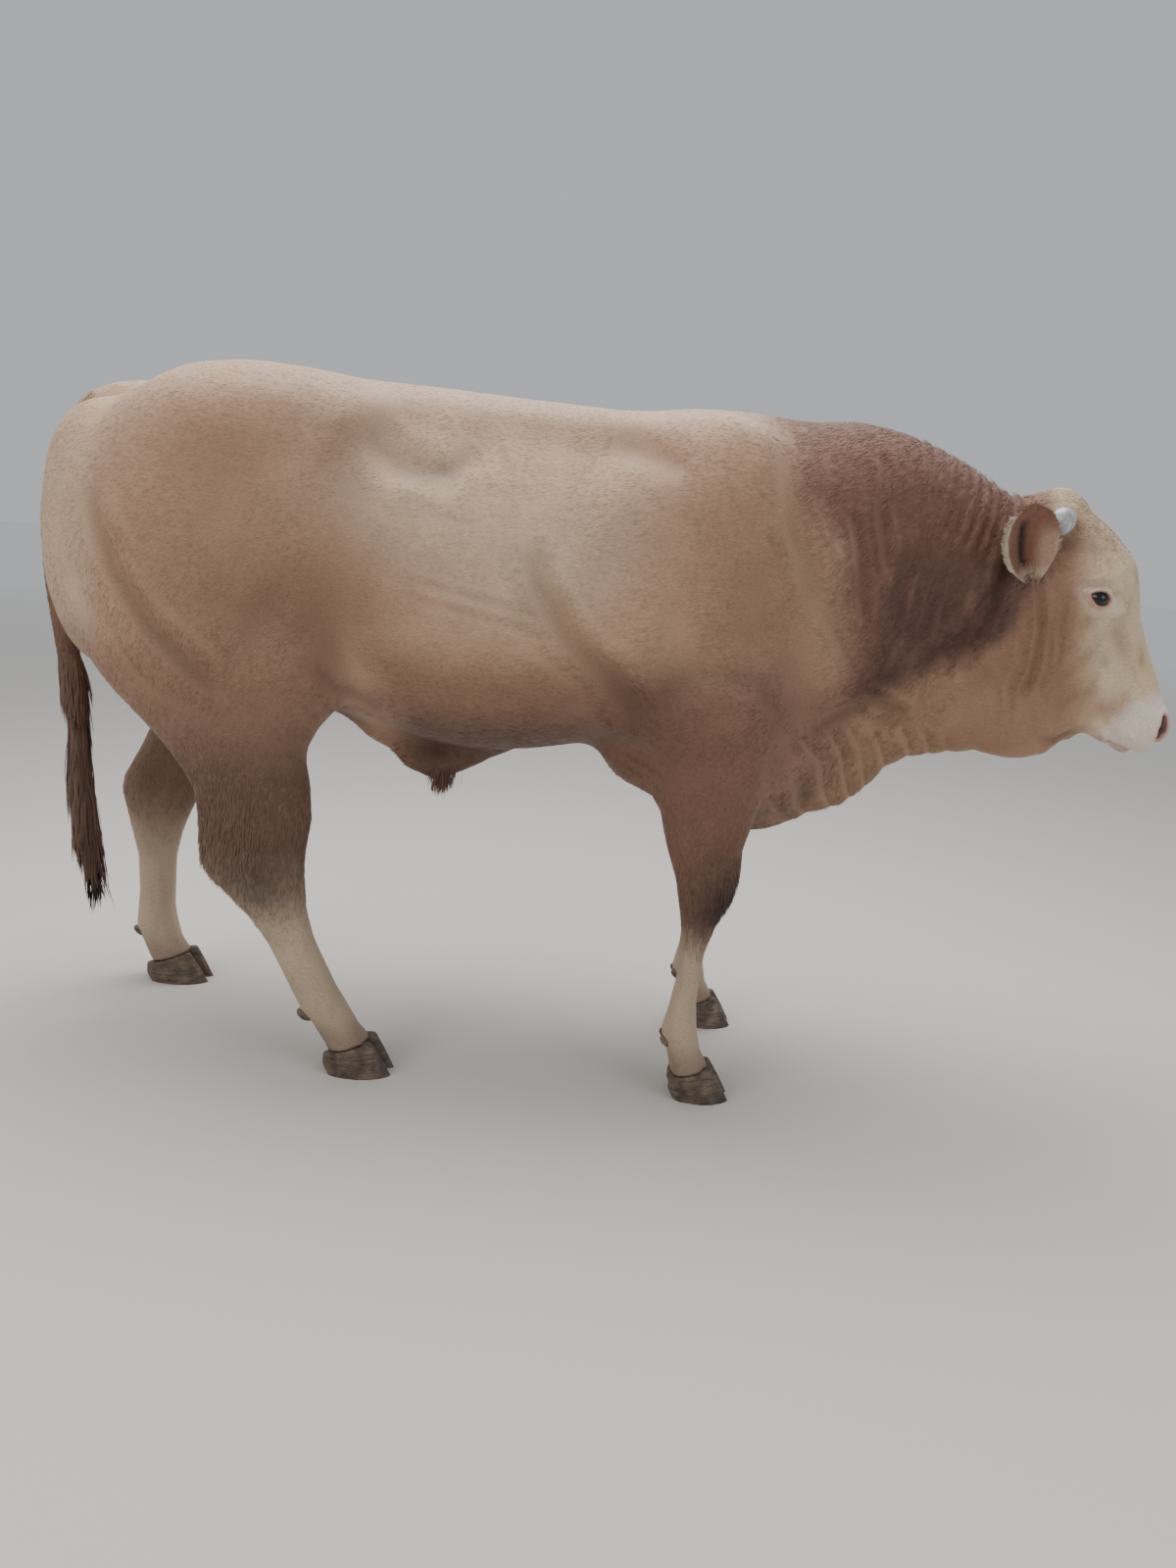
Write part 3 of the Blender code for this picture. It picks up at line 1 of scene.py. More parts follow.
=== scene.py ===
# %% [markdown]
# # A standing blond bull
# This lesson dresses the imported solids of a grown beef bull. The solids give the true
# shape of every part. Here they are joined under one skin, the skin is given its folds,
# lids and creases, and a coat of small tufts is laid over it in the way the hair grows.

import math

import bmesh
import bpy
import numpy as np
from mathutils import Matrix, Vector
from mathutils.bvhtree import BVHTree


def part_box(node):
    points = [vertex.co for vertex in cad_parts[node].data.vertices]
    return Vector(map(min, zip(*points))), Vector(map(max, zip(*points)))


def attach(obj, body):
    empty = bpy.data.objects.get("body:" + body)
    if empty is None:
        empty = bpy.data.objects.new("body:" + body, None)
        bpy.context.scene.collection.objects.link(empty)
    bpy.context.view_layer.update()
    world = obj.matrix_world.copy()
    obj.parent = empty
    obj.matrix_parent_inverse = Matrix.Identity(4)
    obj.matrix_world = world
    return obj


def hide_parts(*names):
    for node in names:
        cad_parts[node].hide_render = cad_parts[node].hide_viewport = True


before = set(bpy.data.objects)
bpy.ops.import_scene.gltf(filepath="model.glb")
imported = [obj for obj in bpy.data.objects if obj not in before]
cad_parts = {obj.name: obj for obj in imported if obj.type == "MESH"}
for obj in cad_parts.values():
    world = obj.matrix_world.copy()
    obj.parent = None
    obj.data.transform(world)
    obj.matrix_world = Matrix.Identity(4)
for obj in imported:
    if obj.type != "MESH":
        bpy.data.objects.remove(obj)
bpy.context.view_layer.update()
chance = np.random.default_rng(7)

# %% [markdown]
# ## Where things are on the animal
# The head hangs forward and down and is turned a little to the bull's right. Places on it
# are easier to name along the face, outward from its middle and up towards the brow, so
# one helper turns such a place into a point in the scene. The solids were shifted when
# they were packed, and the centre of one eye tells by how much.

# %% Head directions and the shift of the pack
BROW = np.array((0.990, -0.090, 1.408))
PITCH, TURN = math.radians(61.0), math.radians(-12.0)
ALONG = np.array((math.cos(PITCH) * math.cos(TURN), math.cos(PITCH) * math.sin(TURN), -math.sin(PITCH)))
LEFT = np.array((-math.sin(TURN), math.cos(TURN), 0.0))
TOP = np.cross(ALONG, LEFT)
EYE_PLACE, EYE_RADIUS = (0.228, 0.111, -0.047), 0.0232
EYE_SINK = 0.0015


def unit(v):
    v = np.asarray(v, float)
    return v / np.linalg.norm(v)


def head_vector(v, side):
    return ALONG * v[0] + LEFT * side * v[1] + TOP * v[2]


def head_point(v, side):
    return BROW + head_vector(v, side)


low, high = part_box("eye_right")
SHIFT = (np.array(low) + np.array(high)) / 2 - head_point(EYE_PLACE, -1)
print("the pack moved the bull by", SHIFT.round(4))

# %% [markdown]
# ## Camera, floor and light
# The bull was seen from about the height of its chest and from close by, so near parts
# look larger than far ones. A lens that takes in the same angle, at the same place and
# with the same small roll, puts every part where the eye expects it.

# %% Camera
CAMERA_PLACE, LENS = (0.0, -2.72, 1.24), 27.0
PITCH_DOWN, ROLL = math.radians(12.0), math.radians(4.3)
forward = np.array((0.0, math.cos(PITCH_DOWN), -math.sin(PITCH_DOWN)))
level_right = np.array((1.0, 0.0, 0.0))
level_up = np.cross(level_right, forward)
cam_right = level_right * math.cos(ROLL) + level_up * math.sin(ROLL)
cam_up = level_up * math.cos(ROLL) - level_right * math.sin(ROLL)
bpy.ops.object.select_all(action="DESELECT")
bpy.ops.object.camera_add(location=CAMERA_PLACE)
camera = bpy.context.object
columns = np.column_stack([cam_right, cam_up, -forward, np.array(CAMERA_PLACE) + SHIFT])
camera.matrix_world = Matrix(np.vstack([columns, (0, 0, 0, 1)]).tolist())
camera.data.sensor_width = 36.0
camera.data.lens = LENS
camera.data.clip_start = 0.05
camera.data.clip_end = 60.0
bpy.context.scene.camera = camera
print("camera at", tuple(round(v, 3) for v in camera.matrix_world.translation))


# %% Colours and node helper
def linear(code):
    """An sRGB hex code as linear red, green and blue."""
    parts = [int(code[n:n + 2], 16) / 255 for n in (1, 3, 5)]
    return np.array([c / 12.92 if c <= 0.04045 else ((c + 0.055) / 1.055) ** 2.4 for c in parts])


def add_node(tree, kind, links=(), **settings):
    """Adds a node, sets its properties and sockets, and links (socket, source) pairs."""
    node = tree.nodes.new(kind)
    for name, value in settings.items():
        if hasattr(node, name):
            setattr(node, name, value)
        else:
            node.inputs[name.replace("_", " ")].default_value = value
    for socket, source in links:
        tree.links.new(source, node.inputs[socket])
    return node


def add_noise(tree, stretch, **settings):
    """Noise over an object's own coordinates, finer along an axis where stretch is larger."""
    place = add_node(tree, "ShaderNodeTexCoord")
    scaled = add_node(tree, "ShaderNodeMapping", [("Vector", place.outputs["Object"])], Scale=stretch)
    return add_node(tree, "ShaderNodeTexNoise", [("Vector", scaled.outputs["Vector"])], **settings)


def add_bump(tree, shader, height, depth):
    bump = add_node(tree, "ShaderNodeBump", [("Height", height.outputs["Fac"])], Strength=0.5, Distance=depth)
    tree.links.new(bump.outputs["Normal"], shader.inputs["Normal"])


def new_material(name, colour, roughness):
    material = bpy.data.materials.new(name)
    material.use_nodes = True
    shader = material.node_tree.nodes["Principled BSDF"]
    shader.inputs["Base Color"].default_value = (*linear(colour), 1)
    shader.inputs["Roughness"].default_value = roughness
    return material, material.node_tree, shader


# %% [markdown]
# ## A plain floor and soft light
# A pale matt floor that runs far back under an even pale sky keeps the eye on the animal.
# Its light came from above and a little behind, which drew a bright line along the back
# and left the belly dark, so the largest lamp hangs overhead.

# %% Floor
NEAR_PLASTER, FAR_PLASTER = "#CFCBC5", "#F6F6F5"
FLOOR_SIDE = 90
bpy.ops.object.select_all(action="DESELECT")
bpy.ops.mesh.primitive_plane_add(size=1, location=(0, 0, 0))
floor = bpy.context.object
floor.name = "floor"
bpy.ops.object.mode_set(mode="EDIT")
bpy.ops.transform.resize(value=(FLOOR_SIDE, FLOOR_SIDE, 1))
bpy.ops.object.mode_set(mode="OBJECT")
plaster, tree, shader = new_material("pale matt plaster", NEAR_PLASTER, 0.9)
place = add_node(tree, "ShaderNodeTexCoord")
away = add_node(tree, "ShaderNodeVectorMath", [(0, place.outputs["Object"])], operation="LENGTH")
far = add_node(tree, "ShaderNodeMapRange", [("Value", away.outputs["Value"])], From_Min=3.0, From_Max=16.0)
paler = add_node(tree, "ShaderNodeMix", [(0, far.outputs["Result"])], data_type="RGBA")
paler.inputs[6].default_value = (*linear(NEAR_PLASTER), 1)
paler.inputs[7].default_value = (*linear(FAR_PLASTER), 1)
tree.links.new(paler.outputs[2], shader.inputs["Base Color"])
floor.data.materials.append(plaster)


# %% Lamps
def soft_lamp(name, place, aim, size, power, colour):
    bpy.ops.object.light_add(type="AREA", location=place)
    lamp = bpy.context.object
    lamp.name = name
    lamp.rotation_euler = (Vector(aim) - Vector(place)).to_track_quat("-Z", "Y").to_euler()
    lamp.data.shape = "RECTANGLE"
    lamp.data.size, lamp.data.size_y = size
    lamp.data.energy = power
    lamp.data.color = colour


soft_lamp("overhead", (-0.3, 0.6, 4.2), (0.0, 0.0, 1.0), (4.5, 2.5), 210, (1.0, 0.98, 0.96))
soft_lamp("window side", (-3.4, -3.4, 3.0), (0.0, 0.0, 0.9), (2.5, 2.0), 70, (1.0, 0.97, 0.93))
soft_lamp("head side", (3.4, -3.0, 2.2), (0.6, 0.0, 1.0), (2.0, 2.0), 30, (0.97, 0.98, 1.0))
world = bpy.data.worlds.new("studio")
bpy.context.scene.world = world
world.use_nodes = True
background = world.node_tree.nodes["Background"]
background.inputs["Color"].default_value = (0.90, 0.92, 0.95, 1)
background.inputs["Strength"].default_value = 0.55
print("floor, three lamps and an even sky")

# %% [markdown]
# ## One skin over all the flesh
# The solids are parted at the neck and legs, but a hide has no such seams. Copies of the
# fleshy solids are joined and remeshed into one closed surface of even small cells. Eyes,
# horn buds and dewclaws sit in pits, so slightly shrunken copies of them fill the pits
# first, and a core fills the middle of the tail switch and of the sheath.

# %% Helpers for meshes
FLESH = ("torso", "neck", "head", "tail", "scrotum", "foreleg_right", "foreleg_left",
         "hindleg_right", "hindleg_left")
SIDES = (("right", -1), ("left", 1))
CELL = 0.005
FLESH_SWELL, EYE_SHRINK, BUD_SHRINK, DEWCLAW_SHRINK = 0.0005, -0.001, -0.003, -0.0025


def only(obj):
    bpy.ops.object.select_all(action="DESELECT")
    obj.select_set(True)
    bpy.context.view_layer.objects.active = obj


def on_whole_mesh(obj, operator, **settings):
    """Runs one edit mode operator on all of a mesh."""
    only(obj)
    bpy.ops.object.mode_set(mode="EDIT")
    bpy.ops.mesh.select_all(action="SELECT")
    operator(**settings)
    bpy.ops.object.mode_set(mode="OBJECT")


def copy_node(name):
    """A loose copy of a solid whose doubled corners are merged."""
    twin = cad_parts[name].copy()
    twin.data = twin.data.copy()
    twin.parent = None
    for key in list(twin.keys()):
        del twin[key]
    twin.data.materials.clear()
    bpy.context.scene.collection.objects.link(twin)
    on_whole_mesh(twin, bpy.ops.mesh.remove_doubles, threshold=1e-5)
    return twin


def apply_modifier(obj, kind, **settings):
    only(obj)
    modifier = obj.modifiers.new("step", kind)
    for name, value in settings.items():
        setattr(modifier, name, value)
    bpy.ops.object.modifier_apply(modifier=modifier.name)


def join(pieces):
    bpy.ops.object.select_all(action="DESELECT")
    for piece in pieces:
        piece.select_set(True)
    bpy.context.view_layer.objects.active = pieces[0]
    bpy.ops.object.join()
    return bpy.context.object


def tube(name, rows, sides=14):
    """A closed round tube through rows of x, y, z and radius in the modelling frame."""
    rows = np.array(rows, float)
    places, radii = rows[:, :3] + SHIFT, rows[:, 3]
    along = np.gradient(places, axis=0)
    points = []
    for place, radius, way in zip(places, radii, along):
        across = unit(np.cross(way, (0.0, 1.0, 0.0)))
        other = unit(np.cross(way, across))
        for n in range(sides):
            turn = math.tau * n / sides
            points.append(place + radius * (across * math.cos(turn) + other * math.sin(turn)))
    faces = [tuple(reversed(range(sides))), tuple(range((len(rows) - 1) * sides, len(rows) * sides))]
    for row in range(len(rows) - 1):
        for n in range(sides):
            m, low, high = (n + 1) % sides, row * sides, (row + 1) * sides
            faces.append((low + n, low + m, high + m, high + n))
    mesh = bpy.data.meshes.new(name)
    mesh.from_pydata([tuple(v) for v in points], [], faces)
    obj = bpy.data.objects.new(name, mesh)
    bpy.context.scene.collection.objects.link(obj)
    on_whole_mesh(obj, bpy.ops.mesh.normals_make_consistent, inside=False)
    return obj


# %% Join and remesh
EAR_BASE, EAR_TIP = (0.146, 0.155, -0.158), (-0.009, 0.225, -0.110)
EAR_ROOT_SHARE, EAR_ROOT_SWELL = 0.10, 0.0006
SWITCH_CORE = ((-1.217, 0, 0.870, 0.024), (-1.209, 0, 0.752, 0.023), (-1.208, 0, 0.646, 0.025),
               (-1.199, 0, 0.540, 0.026), (-1.182, 0, 0.450, 0.020), (-1.172, 0, 0.400, 0.010))
SHEATH_CORE = ((-0.374, 0, 0.708, 0.020), (-0.360, 0, 0.690, 0.027), (-0.346, 0, 0.672, 0.029),
               (-0.336, 0, 0.658, 0.024), (-0.330, 0, 0.650, 0.014))


def swell(obj, distance):
    apply_modifier(obj, "DISPLACE", strength=distance, mid_level=0.0)
    return obj


def ear_root(side_name, side):
    """The thick root of an ear, its blade cut off by a plane."""
    root = copy_node("ear_" + side_name)
    base, tip = head_point(EAR_BASE, side) + SHIFT, head_point(EAR_TIP, side) + SHIFT
    on_whole_mesh(root, bpy.ops.mesh.bisect, plane_co=base + (tip - base) * EAR_ROOT_SHARE,
                  plane_no=unit(tip - base), use_fill=True, clear_outer=True)
    return root


parts = [swell(copy_node(name), FLESH_SWELL) for name in FLESH]
for side_name, side in SIDES:
    parts.append(swell(copy_node("eye_" + side_name), EYE_SHRINK))
    parts.append(swell(copy_node("horn_bud_" + side_name), BUD_SHRINK))
    parts.append(swell(ear_root(side_name, side), EAR_ROOT_SWELL))
    for limb in ("foredewclaw_", "hinddewclaw_"):
        for place in ("_inner", "_outer"):
            parts.append(swell(copy_node(limb + side_name + place), DEWCLAW_SHRINK))
parts.append(tube("switch core", SWITCH_CORE))
parts.append(tube("sheath core", SHEATH_CORE))
skin = join(parts)
skin.name = "skin"
skin.data.remesh_voxel_size = CELL
skin.data.use_remesh_fix_poles = False
bpy.ops.object.voxel_remesh()
print("skin:", len(skin.data.polygons), "faces")


# %% Keep one closed surface
def points_of(obj):
    flat = np.empty(len(obj.data.vertices) * 3)
    obj.data.vertices.foreach_get("co", flat)
    return flat.reshape(-1, 3)


def set_points(obj, points):
    obj.data.vertices.foreach_set("co", points.ravel())
    obj.data.update()


def normals_of(obj):
    flat = np.empty(len(obj.data.vertices) * 3, np.float32)
    obj.data.vertex_normals.foreach_get("vector", flat)
    return flat.reshape(-1, 3).astype(float)


def edge_ends(obj):
    ends = np.empty(len(obj.data.edges) * 2, int)
    obj.data.edges.foreach_get("vertices", ends)
    return ends.reshape(-1, 2).T


def drop_points(obj, doomed):
    """Deletes the points of a mask."""
    working = bmesh.new()
    working.from_mesh(obj.data)
    working.verts.ensure_lookup_table()
    bmesh.ops.delete(working, geom=[working.verts[i] for i in np.flatnonzero(doomed)], context="VERTS")
    working.to_mesh(obj.data)
    working.free()


def keep_largest(obj):
    """Drops every loose shell but the largest."""
    a, b = edge_ends(obj)
    label = np.arange(len(obj.data.vertices))
    while True:
        before = label.copy()
        least = np.minimum(label[a], label[b])
        np.minimum.at(label, a, least)
        np.minimum.at(label, b, least)
        label = label[label]
        if (label == before).all():
            break
    names, sizes = np.unique(label, return_counts=True)
    loose = label != names[sizes.argmax()]
    if loose.any():
        drop_points(obj, loose)
    return int(loose.sum())


print("stray points dropped:", keep_largest(skin))


# %% [markdown]
# ## Rub the facets smooth
# The flat facets of the solids are rubbed away, more on the broad trunk than on the slim
# legs and the head, where rubbing would wear the form away.

# %% Regions of the body
# Lines that climb the side of the body: heights, and x at each of them.
JAW_CREASE = (0.90, 1.02, 1.09, 1.14, 1.22, 1.40, 1.50), (0.76, 0.80, 0.85, 0.88, 0.90, 0.94, 0.96)
COLLAR = (1.04, 1.14, 1.21, 1.29, 1.39, 1.47), (0.52, 0.50, 0.46, 0.42, 0.38, 0.35)


def step(value, start, end):
    """0 before start, 1 after end, smooth between. It also runs downhill."""
    t = np.clip((value - start) / (end - start), 0, 1)
    return t * t * (3 - 2 * t)


def line_x(z, heights, places):
    """Where a line that climbs the side of the body lies, as x at each height."""
    return np.interp(z, heights, places)


def on_head(p):
    """1 ahead of the crease behind the jaw and poll, 0 on the neck."""
    return step(p[:, 0] - line_x(p[:, 2], *JAW_CREASE), -0.02, 0.03)


def past_collar(p):
    """How far ahead of the line where the coat turns red-brown each place is, in metres."""
    return p[:, 0] - line_x(p[:, 2], *COLLAR)


def on_neck(p):
    """1 on the neck and head, 0 behind them."""
    return step(past_collar(p), -0.03, 0.04)


def on_forelegs(p):
    return step(p[:, 2], 0.78, 0.66) * step(p[:, 0], 0.02, 0.08) * step(abs(p[:, 1]), 0.06, 0.10)


def on_hindlegs(p):
    return step(p[:, 2], 0.92, 0.70) * step(p[:, 0], -0.36, -0.46) * step(abs(p[:, 1]), 0.03, 0.08)


def on_tail(p):
    return step(p[:, 0], -1.13, -1.16) * step(abs(p[:, 1]), 0.08, 0.06)


def bump_at(p, x, z, wide, high):
    """A soft round spot on both sides of the body, 1 at its middle."""
    return np.exp(-((p[:, 0] - x) / wide) ** 2 - ((p[:, 2] - z) / high) ** 2)


def rub(obj, amount, rounds):
    """Moves each point towards the middle of its neighbours, as far as amount says."""
    p = points_of(obj)
    a, b = edge_ends(obj)
    degree = (np.bincount(a, minlength=len(p)) + np.bincount(b, minlength=len(p)))[:, None]
    total = np.empty_like(p)
    for _ in range(rounds):
        for axis in range(3):
            column = p[:, axis]
            total[:, axis] = np.bincount(a, column[b], len(p)) + np.bincount(b, column[a], len(p))
        p += amount[:, None] * (total / degree - p)
    set_points(obj, p)


RUB, RUB_ROUNDS, FIRMNESS = 0.6, 45, 0.86
p = points_of(skin) - SHIFT
low_down = step(p[:, 2], 0.76, 0.72)
firm = np.maximum.reduce([on_forelegs(p), on_hindlegs(p), on_tail(p), on_head(p), low_down])
rub(skin, RUB * (1 - FIRMNESS * firm), RUB_ROUNDS)
print("rubbed smooth")


# %% Finer cells on the face
def refine(obj, mask):
    """Cuts the faces that have a point in the mask in four."""
    only(obj)
    bpy.ops.object.mode_set(mode="EDIT")
    bpy.ops.mesh.select_mode(type="VERT")
    bpy.ops.mesh.select_all(action="DESELECT")
    bpy.ops.object.mode_set(mode="OBJECT")
    obj.data.vertices.foreach_set("select", mask)
    bpy.ops.object.mode_set(mode="EDIT")
    bpy.ops.mesh.subdivide(number_cuts=1, smoothness=0.0)
    bpy.ops.object.mode_set(mode="OBJECT")


def head_places(p):
    """Along the face, outward from its middle and up, of places in the modelling frame."""
    q = p - BROW
    return q @ ALONG, q @ LEFT, q @ TOP


def eye_frame(side):
    """Middle of an eyeball and its directions out of the head, to the front corner and up."""
    out = unit(head_vector((0.18, 0.95, 0.25), side))
    ahead = head_vector((0.75, 0.0, 0.65), side)
    ahead = unit(ahead - out * (ahead @ out))
    return head_point(EYE_PLACE, side) - out * EYE_SINK, out, ahead, np.cross(ahead, out) * side


# A nostril is a comma along these places on the head, each with its half width.
NOSTRIL = ((0.525, 0.068, -0.008, 0.0060), (0.535, 0.074, -0.014, 0.0095), (0.547, 0.077, -0.022, 0.0118),
           (0.556, 0.076, -0.031, 0.0085))
NOSTRIL_WAY = unit((0.50, 0.74, 0.45))


def nostril_depth(p, side):
    """How far inside the comma of a nostril each place is, in metres, negative outside."""
    rows = np.array(NOSTRIL)
    outward = head_vector(NOSTRIL_WAY, side)
    best = np.full(len(p), -1.0)
    for start, end in zip(rows, rows[1:]):
        a, b = head_point(start[:3], side), head_point(end[:3], side)
        t = np.clip((p - a) @ (b - a) / ((b - a) @ (b - a)), 0, 1)
        away = p - a - t[:, None] * (b - a)
        depth = away @ outward
        away = np.linalg.norm(away - depth[:, None] * outward, axis=1) + 9 * (abs(depth) > 0.035)
        best = np.maximum(best, start[3] + t * (end[3] - start[3]) - away)
    return best


NOSTRIL_MIDDLE = NOSTRIL[2][:3]
EYE_REACH, NOSTRIL_REACH = 0.085, 0.065
for reach in (1.0, 0.55):
    p = points_of(skin) - SHIFT
    near = np.zeros(len(p), bool)
    for _, side in SIDES:
        near |= np.linalg.norm(p - head_point(EYE_PLACE, side), axis=1) < EYE_REACH * reach
        near |= np.linalg.norm(p - head_point(NOSTRIL_MIDDLE, side), axis=1) < NOSTRIL_REACH * reach
    if reach == 1.0:
        along, out, up = head_places(p)
        near |= (along > 0.42) & (on_head(p) > 0.5)
    refine(skin, near)
print("skin with a fine face:", len(skin.data.vertices), "points")

# %% [markdown]
# ## Lids, nostrils and mouth
# The eyeball sits in the skull behind two lids. Each point near it is moved straight
# towards or away from the middle of the ball: inside the almond of the opening it goes
# behind the ball, at the rim it stands proud as the thick edge of the lid, and round that
# run two shallow folds. The nostrils are pushed in as commas and the mouth as a groove.

# %% Sculpt the lids
EYE_OPENING = (0.0213, 0.0146)
# Height over the ball at each share of the opening: behind it inside, proud on the lids.
LID_SHARES = (0, 0.88, 0.98, 1.06, 1.18, 1.40, 1.70, 2.6)
LID_HEIGHTS = (-0.0045, -0.0035, 0.0008, 0.0030, 0.0038, 0.0034, 0.0040, 0.0040)
LID_FOLD, LID_ROUNDS = 0.0030, 5
OUT_OF_SIGHT = 9.0


def bell(value, middle, width):
    return np.exp(-((value - middle) / width) ** 2)


def eye_angle(p, side):
    """How far from the middle of the almond opening each place is: 1 on its rim."""
    centre, out, ahead, up = eye_frame(side)
    away = p - centre
    reach = np.linalg.norm(away, axis=1)
    facing = away @ out > 0
    f, u = away @ ahead, away @ up
    tall = EYE_OPENING[1] * (1 - 0.25 * (f / EYE_OPENING[0]) ** 2).clip(0.75, 1)
    angle = np.sqrt((f / EYE_OPENING[0]) ** 2 + (u / tall) ** 2)
    return np.where(facing & (reach < EYE_REACH), angle, OUT_OF_SIGHT), reach, u


p = points_of(skin) - SHIFT
for _, side in SIDES:
    centre = eye_frame(side)[0]
    angle, reach, u = eye_angle(p, side)
    blend, ray = step(angle, 3.1, 1.9), (p - centre) / reach[:, None]
    for _ in range(LID_ROUNDS):
        wanted = EYE_RADIUS + np.interp(angle, LID_SHARES, LID_HEIGHTS)
        wanted = wanted + LID_FOLD * bell(angle, 1.36, 0.17) * step(u, 0.0, 0.006)
        settled = centre + ray * (wanted * blend + reach * (1 - blend))[:, None]
        angle, _, u = eye_angle(settled, side)
    p = settled
set_points(skin, p + SHIFT)
print("lids sculpted round eyeballs of", EYE_RADIUS * 1000, "mm radius")

# %% Sculpt nostrils and mouth
MOUTH = ((0.594, -0.079), (0.576, -0.090), (0.558, -0.104), (0.533, -0.126))
NOSTRIL_DEEP, MOUTH_DEEP = 0.017, 0.0040


def path_distance(x, z, path):
    """Distance from a path of points in a plane, and the share of the way along it."""
    best, share = np.full(len(x), 9.0), np.zeros(len(x))
    for n, ((x0, z0), (x1, z1)) in enumerate(zip(path, path[1:])):
        t = np.clip(((x - x0) * (x1 - x0) + (z - z0) * (z1 - z0)) / ((x1 - x0) ** 2 + (z1 - z0) ** 2), 0, 1)
        away = np.hypot(x - x0 - t * (x1 - x0), z - z0 - t * (z1 - z0))
        closer = away < best
        best = np.where(closer, away, best)
        share = np.where(closer, (n + t) / (len(path) - 1), share)
    return best, share


def mouth_distance(p):
    """Distance of each place from the line of the mouth, seen from the side of the head."""
    along, _, up = head_places(p)
    return path_distance(along, up, MOUTH)[0]


n = normals_of(skin)
for _, side in SIDES:
    depth = nostril_depth(p, side)
    inward = -head_vector(unit(NOSTRIL_WAY + np.array((-0.1, 0.2, 0.0))), side)
    p = p + inward * (NOSTRIL_DEEP * step(depth, -0.001, 0.007))[:, None]
    p = p + n * (0.0030 * bell(depth, -0.0055, 0.0045))[:, None]
crease = mouth_distance(p)
p = p + n * (0.0014 * bell(crease, 0.010, 0.006) - MOUTH_DEEP * bell(crease, 0.0, 0.0032))[:, None]
set_points(skin, p + SHIFT)
print("nostrils and mouth cut")

# %% [markdown]
# ## Folds of the hide
# The thick hide of a bull's neck creases into close upright rolls behind the poll, into
# longer folds behind the jaw, and hangs in pleats under the throat. Each set of folds is
# a wave across the surface: rounded rolls with narrow furrows between, fading out at the
# edges of its region, with the spacing unsettled so that no two are alike.


# %% Sculpt the folds
def waver(p, scale, seed):
    """A slow smooth unevenness from -1 to 1 over space, from a few crossed waves."""
    ways = np.random.default_rng(seed)
    total = np.zeros(len(p))
    for _ in range(5):
        way = ways.normal(size=3)
        total += np.sin(p @ (way / scale) + ways.uniform(0, math.tau))
    return total / 5 * 1.4


def rolls(across, spacing, sharp=0.7):
    """Rounded rolls with narrow furrows, from about -0.7 in a furrow to 0.3 on a roll."""
    return np.abs(np.sin(math.pi * across / spacing)) ** sharp - 0.7


# Furrows as lines on the side of the body: depth, half width and places as x and z, all in metres.
FURROWS = {
    "behind the shoulder": (0.011, 0.020, (-0.142, 1.199), (-0.117, 1.119), (-0.059, 1.034), (0.030, 0.963),
                            (0.081, 0.903), (0.095, 0.836)),
    "over the arm": (0.005, 0.024, (0.104, 0.906), (0.219, 0.985), (0.330, 0.965), (0.385, 0.900),
                     (0.392, 0.837)),
    "thigh": (0.010, 0.020, (-1.047, 1.228), (-0.998, 1.098), (-0.911, 0.985), (-0.813, 0.902),
              (-0.768, 0.874)),
    "before the hip": (0.009, 0.028, (-0.498, 1.395), (-0.418, 1.345), (-0.323, 1.340), (-0.268, 1.389)),
    "flank": (0.007, 0.016, (-0.575, 0.925), (-0.545, 0.890), (-0.506, 0.859), (-0.46, 0.835)),
    "upper rib line": (0.0022, 0.009, (-0.415, 1.126), (-0.243, 1.096), (-0.091, 1.062)),
    "lower rib line": (0.0018, 0.009, (-0.39, 1.085), (-0.22, 1.055), (-0.08, 1.025)),
    "under the withers": (0.006, 0.026, (0.002, 1.427), (0.096, 1.402), (0.157, 1.375)),
    "before the shoulder": (0.006, 0.024, (0.361, 1.425), (0.383, 1.289), (0.431, 1.187), (0.481, 1.098),
                            (0.524, 1.022)),
    "neck, first": (0.0055, 0.010, (0.508, 1.314), (0.532, 1.209), (0.545, 1.102)),
    "neck, second": (0.0045, 0.010, (0.570, 1.442), (0.563, 1.333), (0.588, 1.213)),
    "lower neck": (0.006, 0.024, (0.505, 0.867), (0.618, 0.976), (0.736, 1.050), (0.806, 1.103)),
    "behind the jaw": (0.016, 0.016, (0.862, 1.262), (0.846, 1.226), (0.820, 1.157), (0.785, 1.078),
                       (0.779, 1.006)),
    "jowl, first": (0.0060, 0.0075, (0.905, 1.235), (0.917, 1.164), (0.928, 1.104), (0.928, 1.019),
                    (0.915, 0.960)),
    "jowl, second": (0.0020, 0.0060, (0.968, 1.178), (0.962, 1.134), (0.975, 1.066), (0.966, 1.02)),
    "jowl, third": (0.0022, 0.0065, (0.948, 1.150), (0.945, 1.095), (0.957, 1.035), (0.950, 0.985)),
    "jowl, fourth": (0.0024, 0.0075, (0.893, 1.120), (0.900, 1.054), (0.890, 0.985), (0.908, 0.900)),
    "under the jaw": (0.008, 0.012, (0.979, 0.874), (1.015, 0.868), (1.054, 0.888), (1.095, 0.895)),
    "dewlap": (0.010, 0.014, (0.472, 0.850), (0.519, 0.880), (0.600, 0.925), (0.655, 0.907), (0.640, 0.86)),
    "brisket": (0.008, 0.014, (0.465, 0.742), (0.490, 0.690), (0.500, 0.640)),
}
FURROW_REACH = 0.09
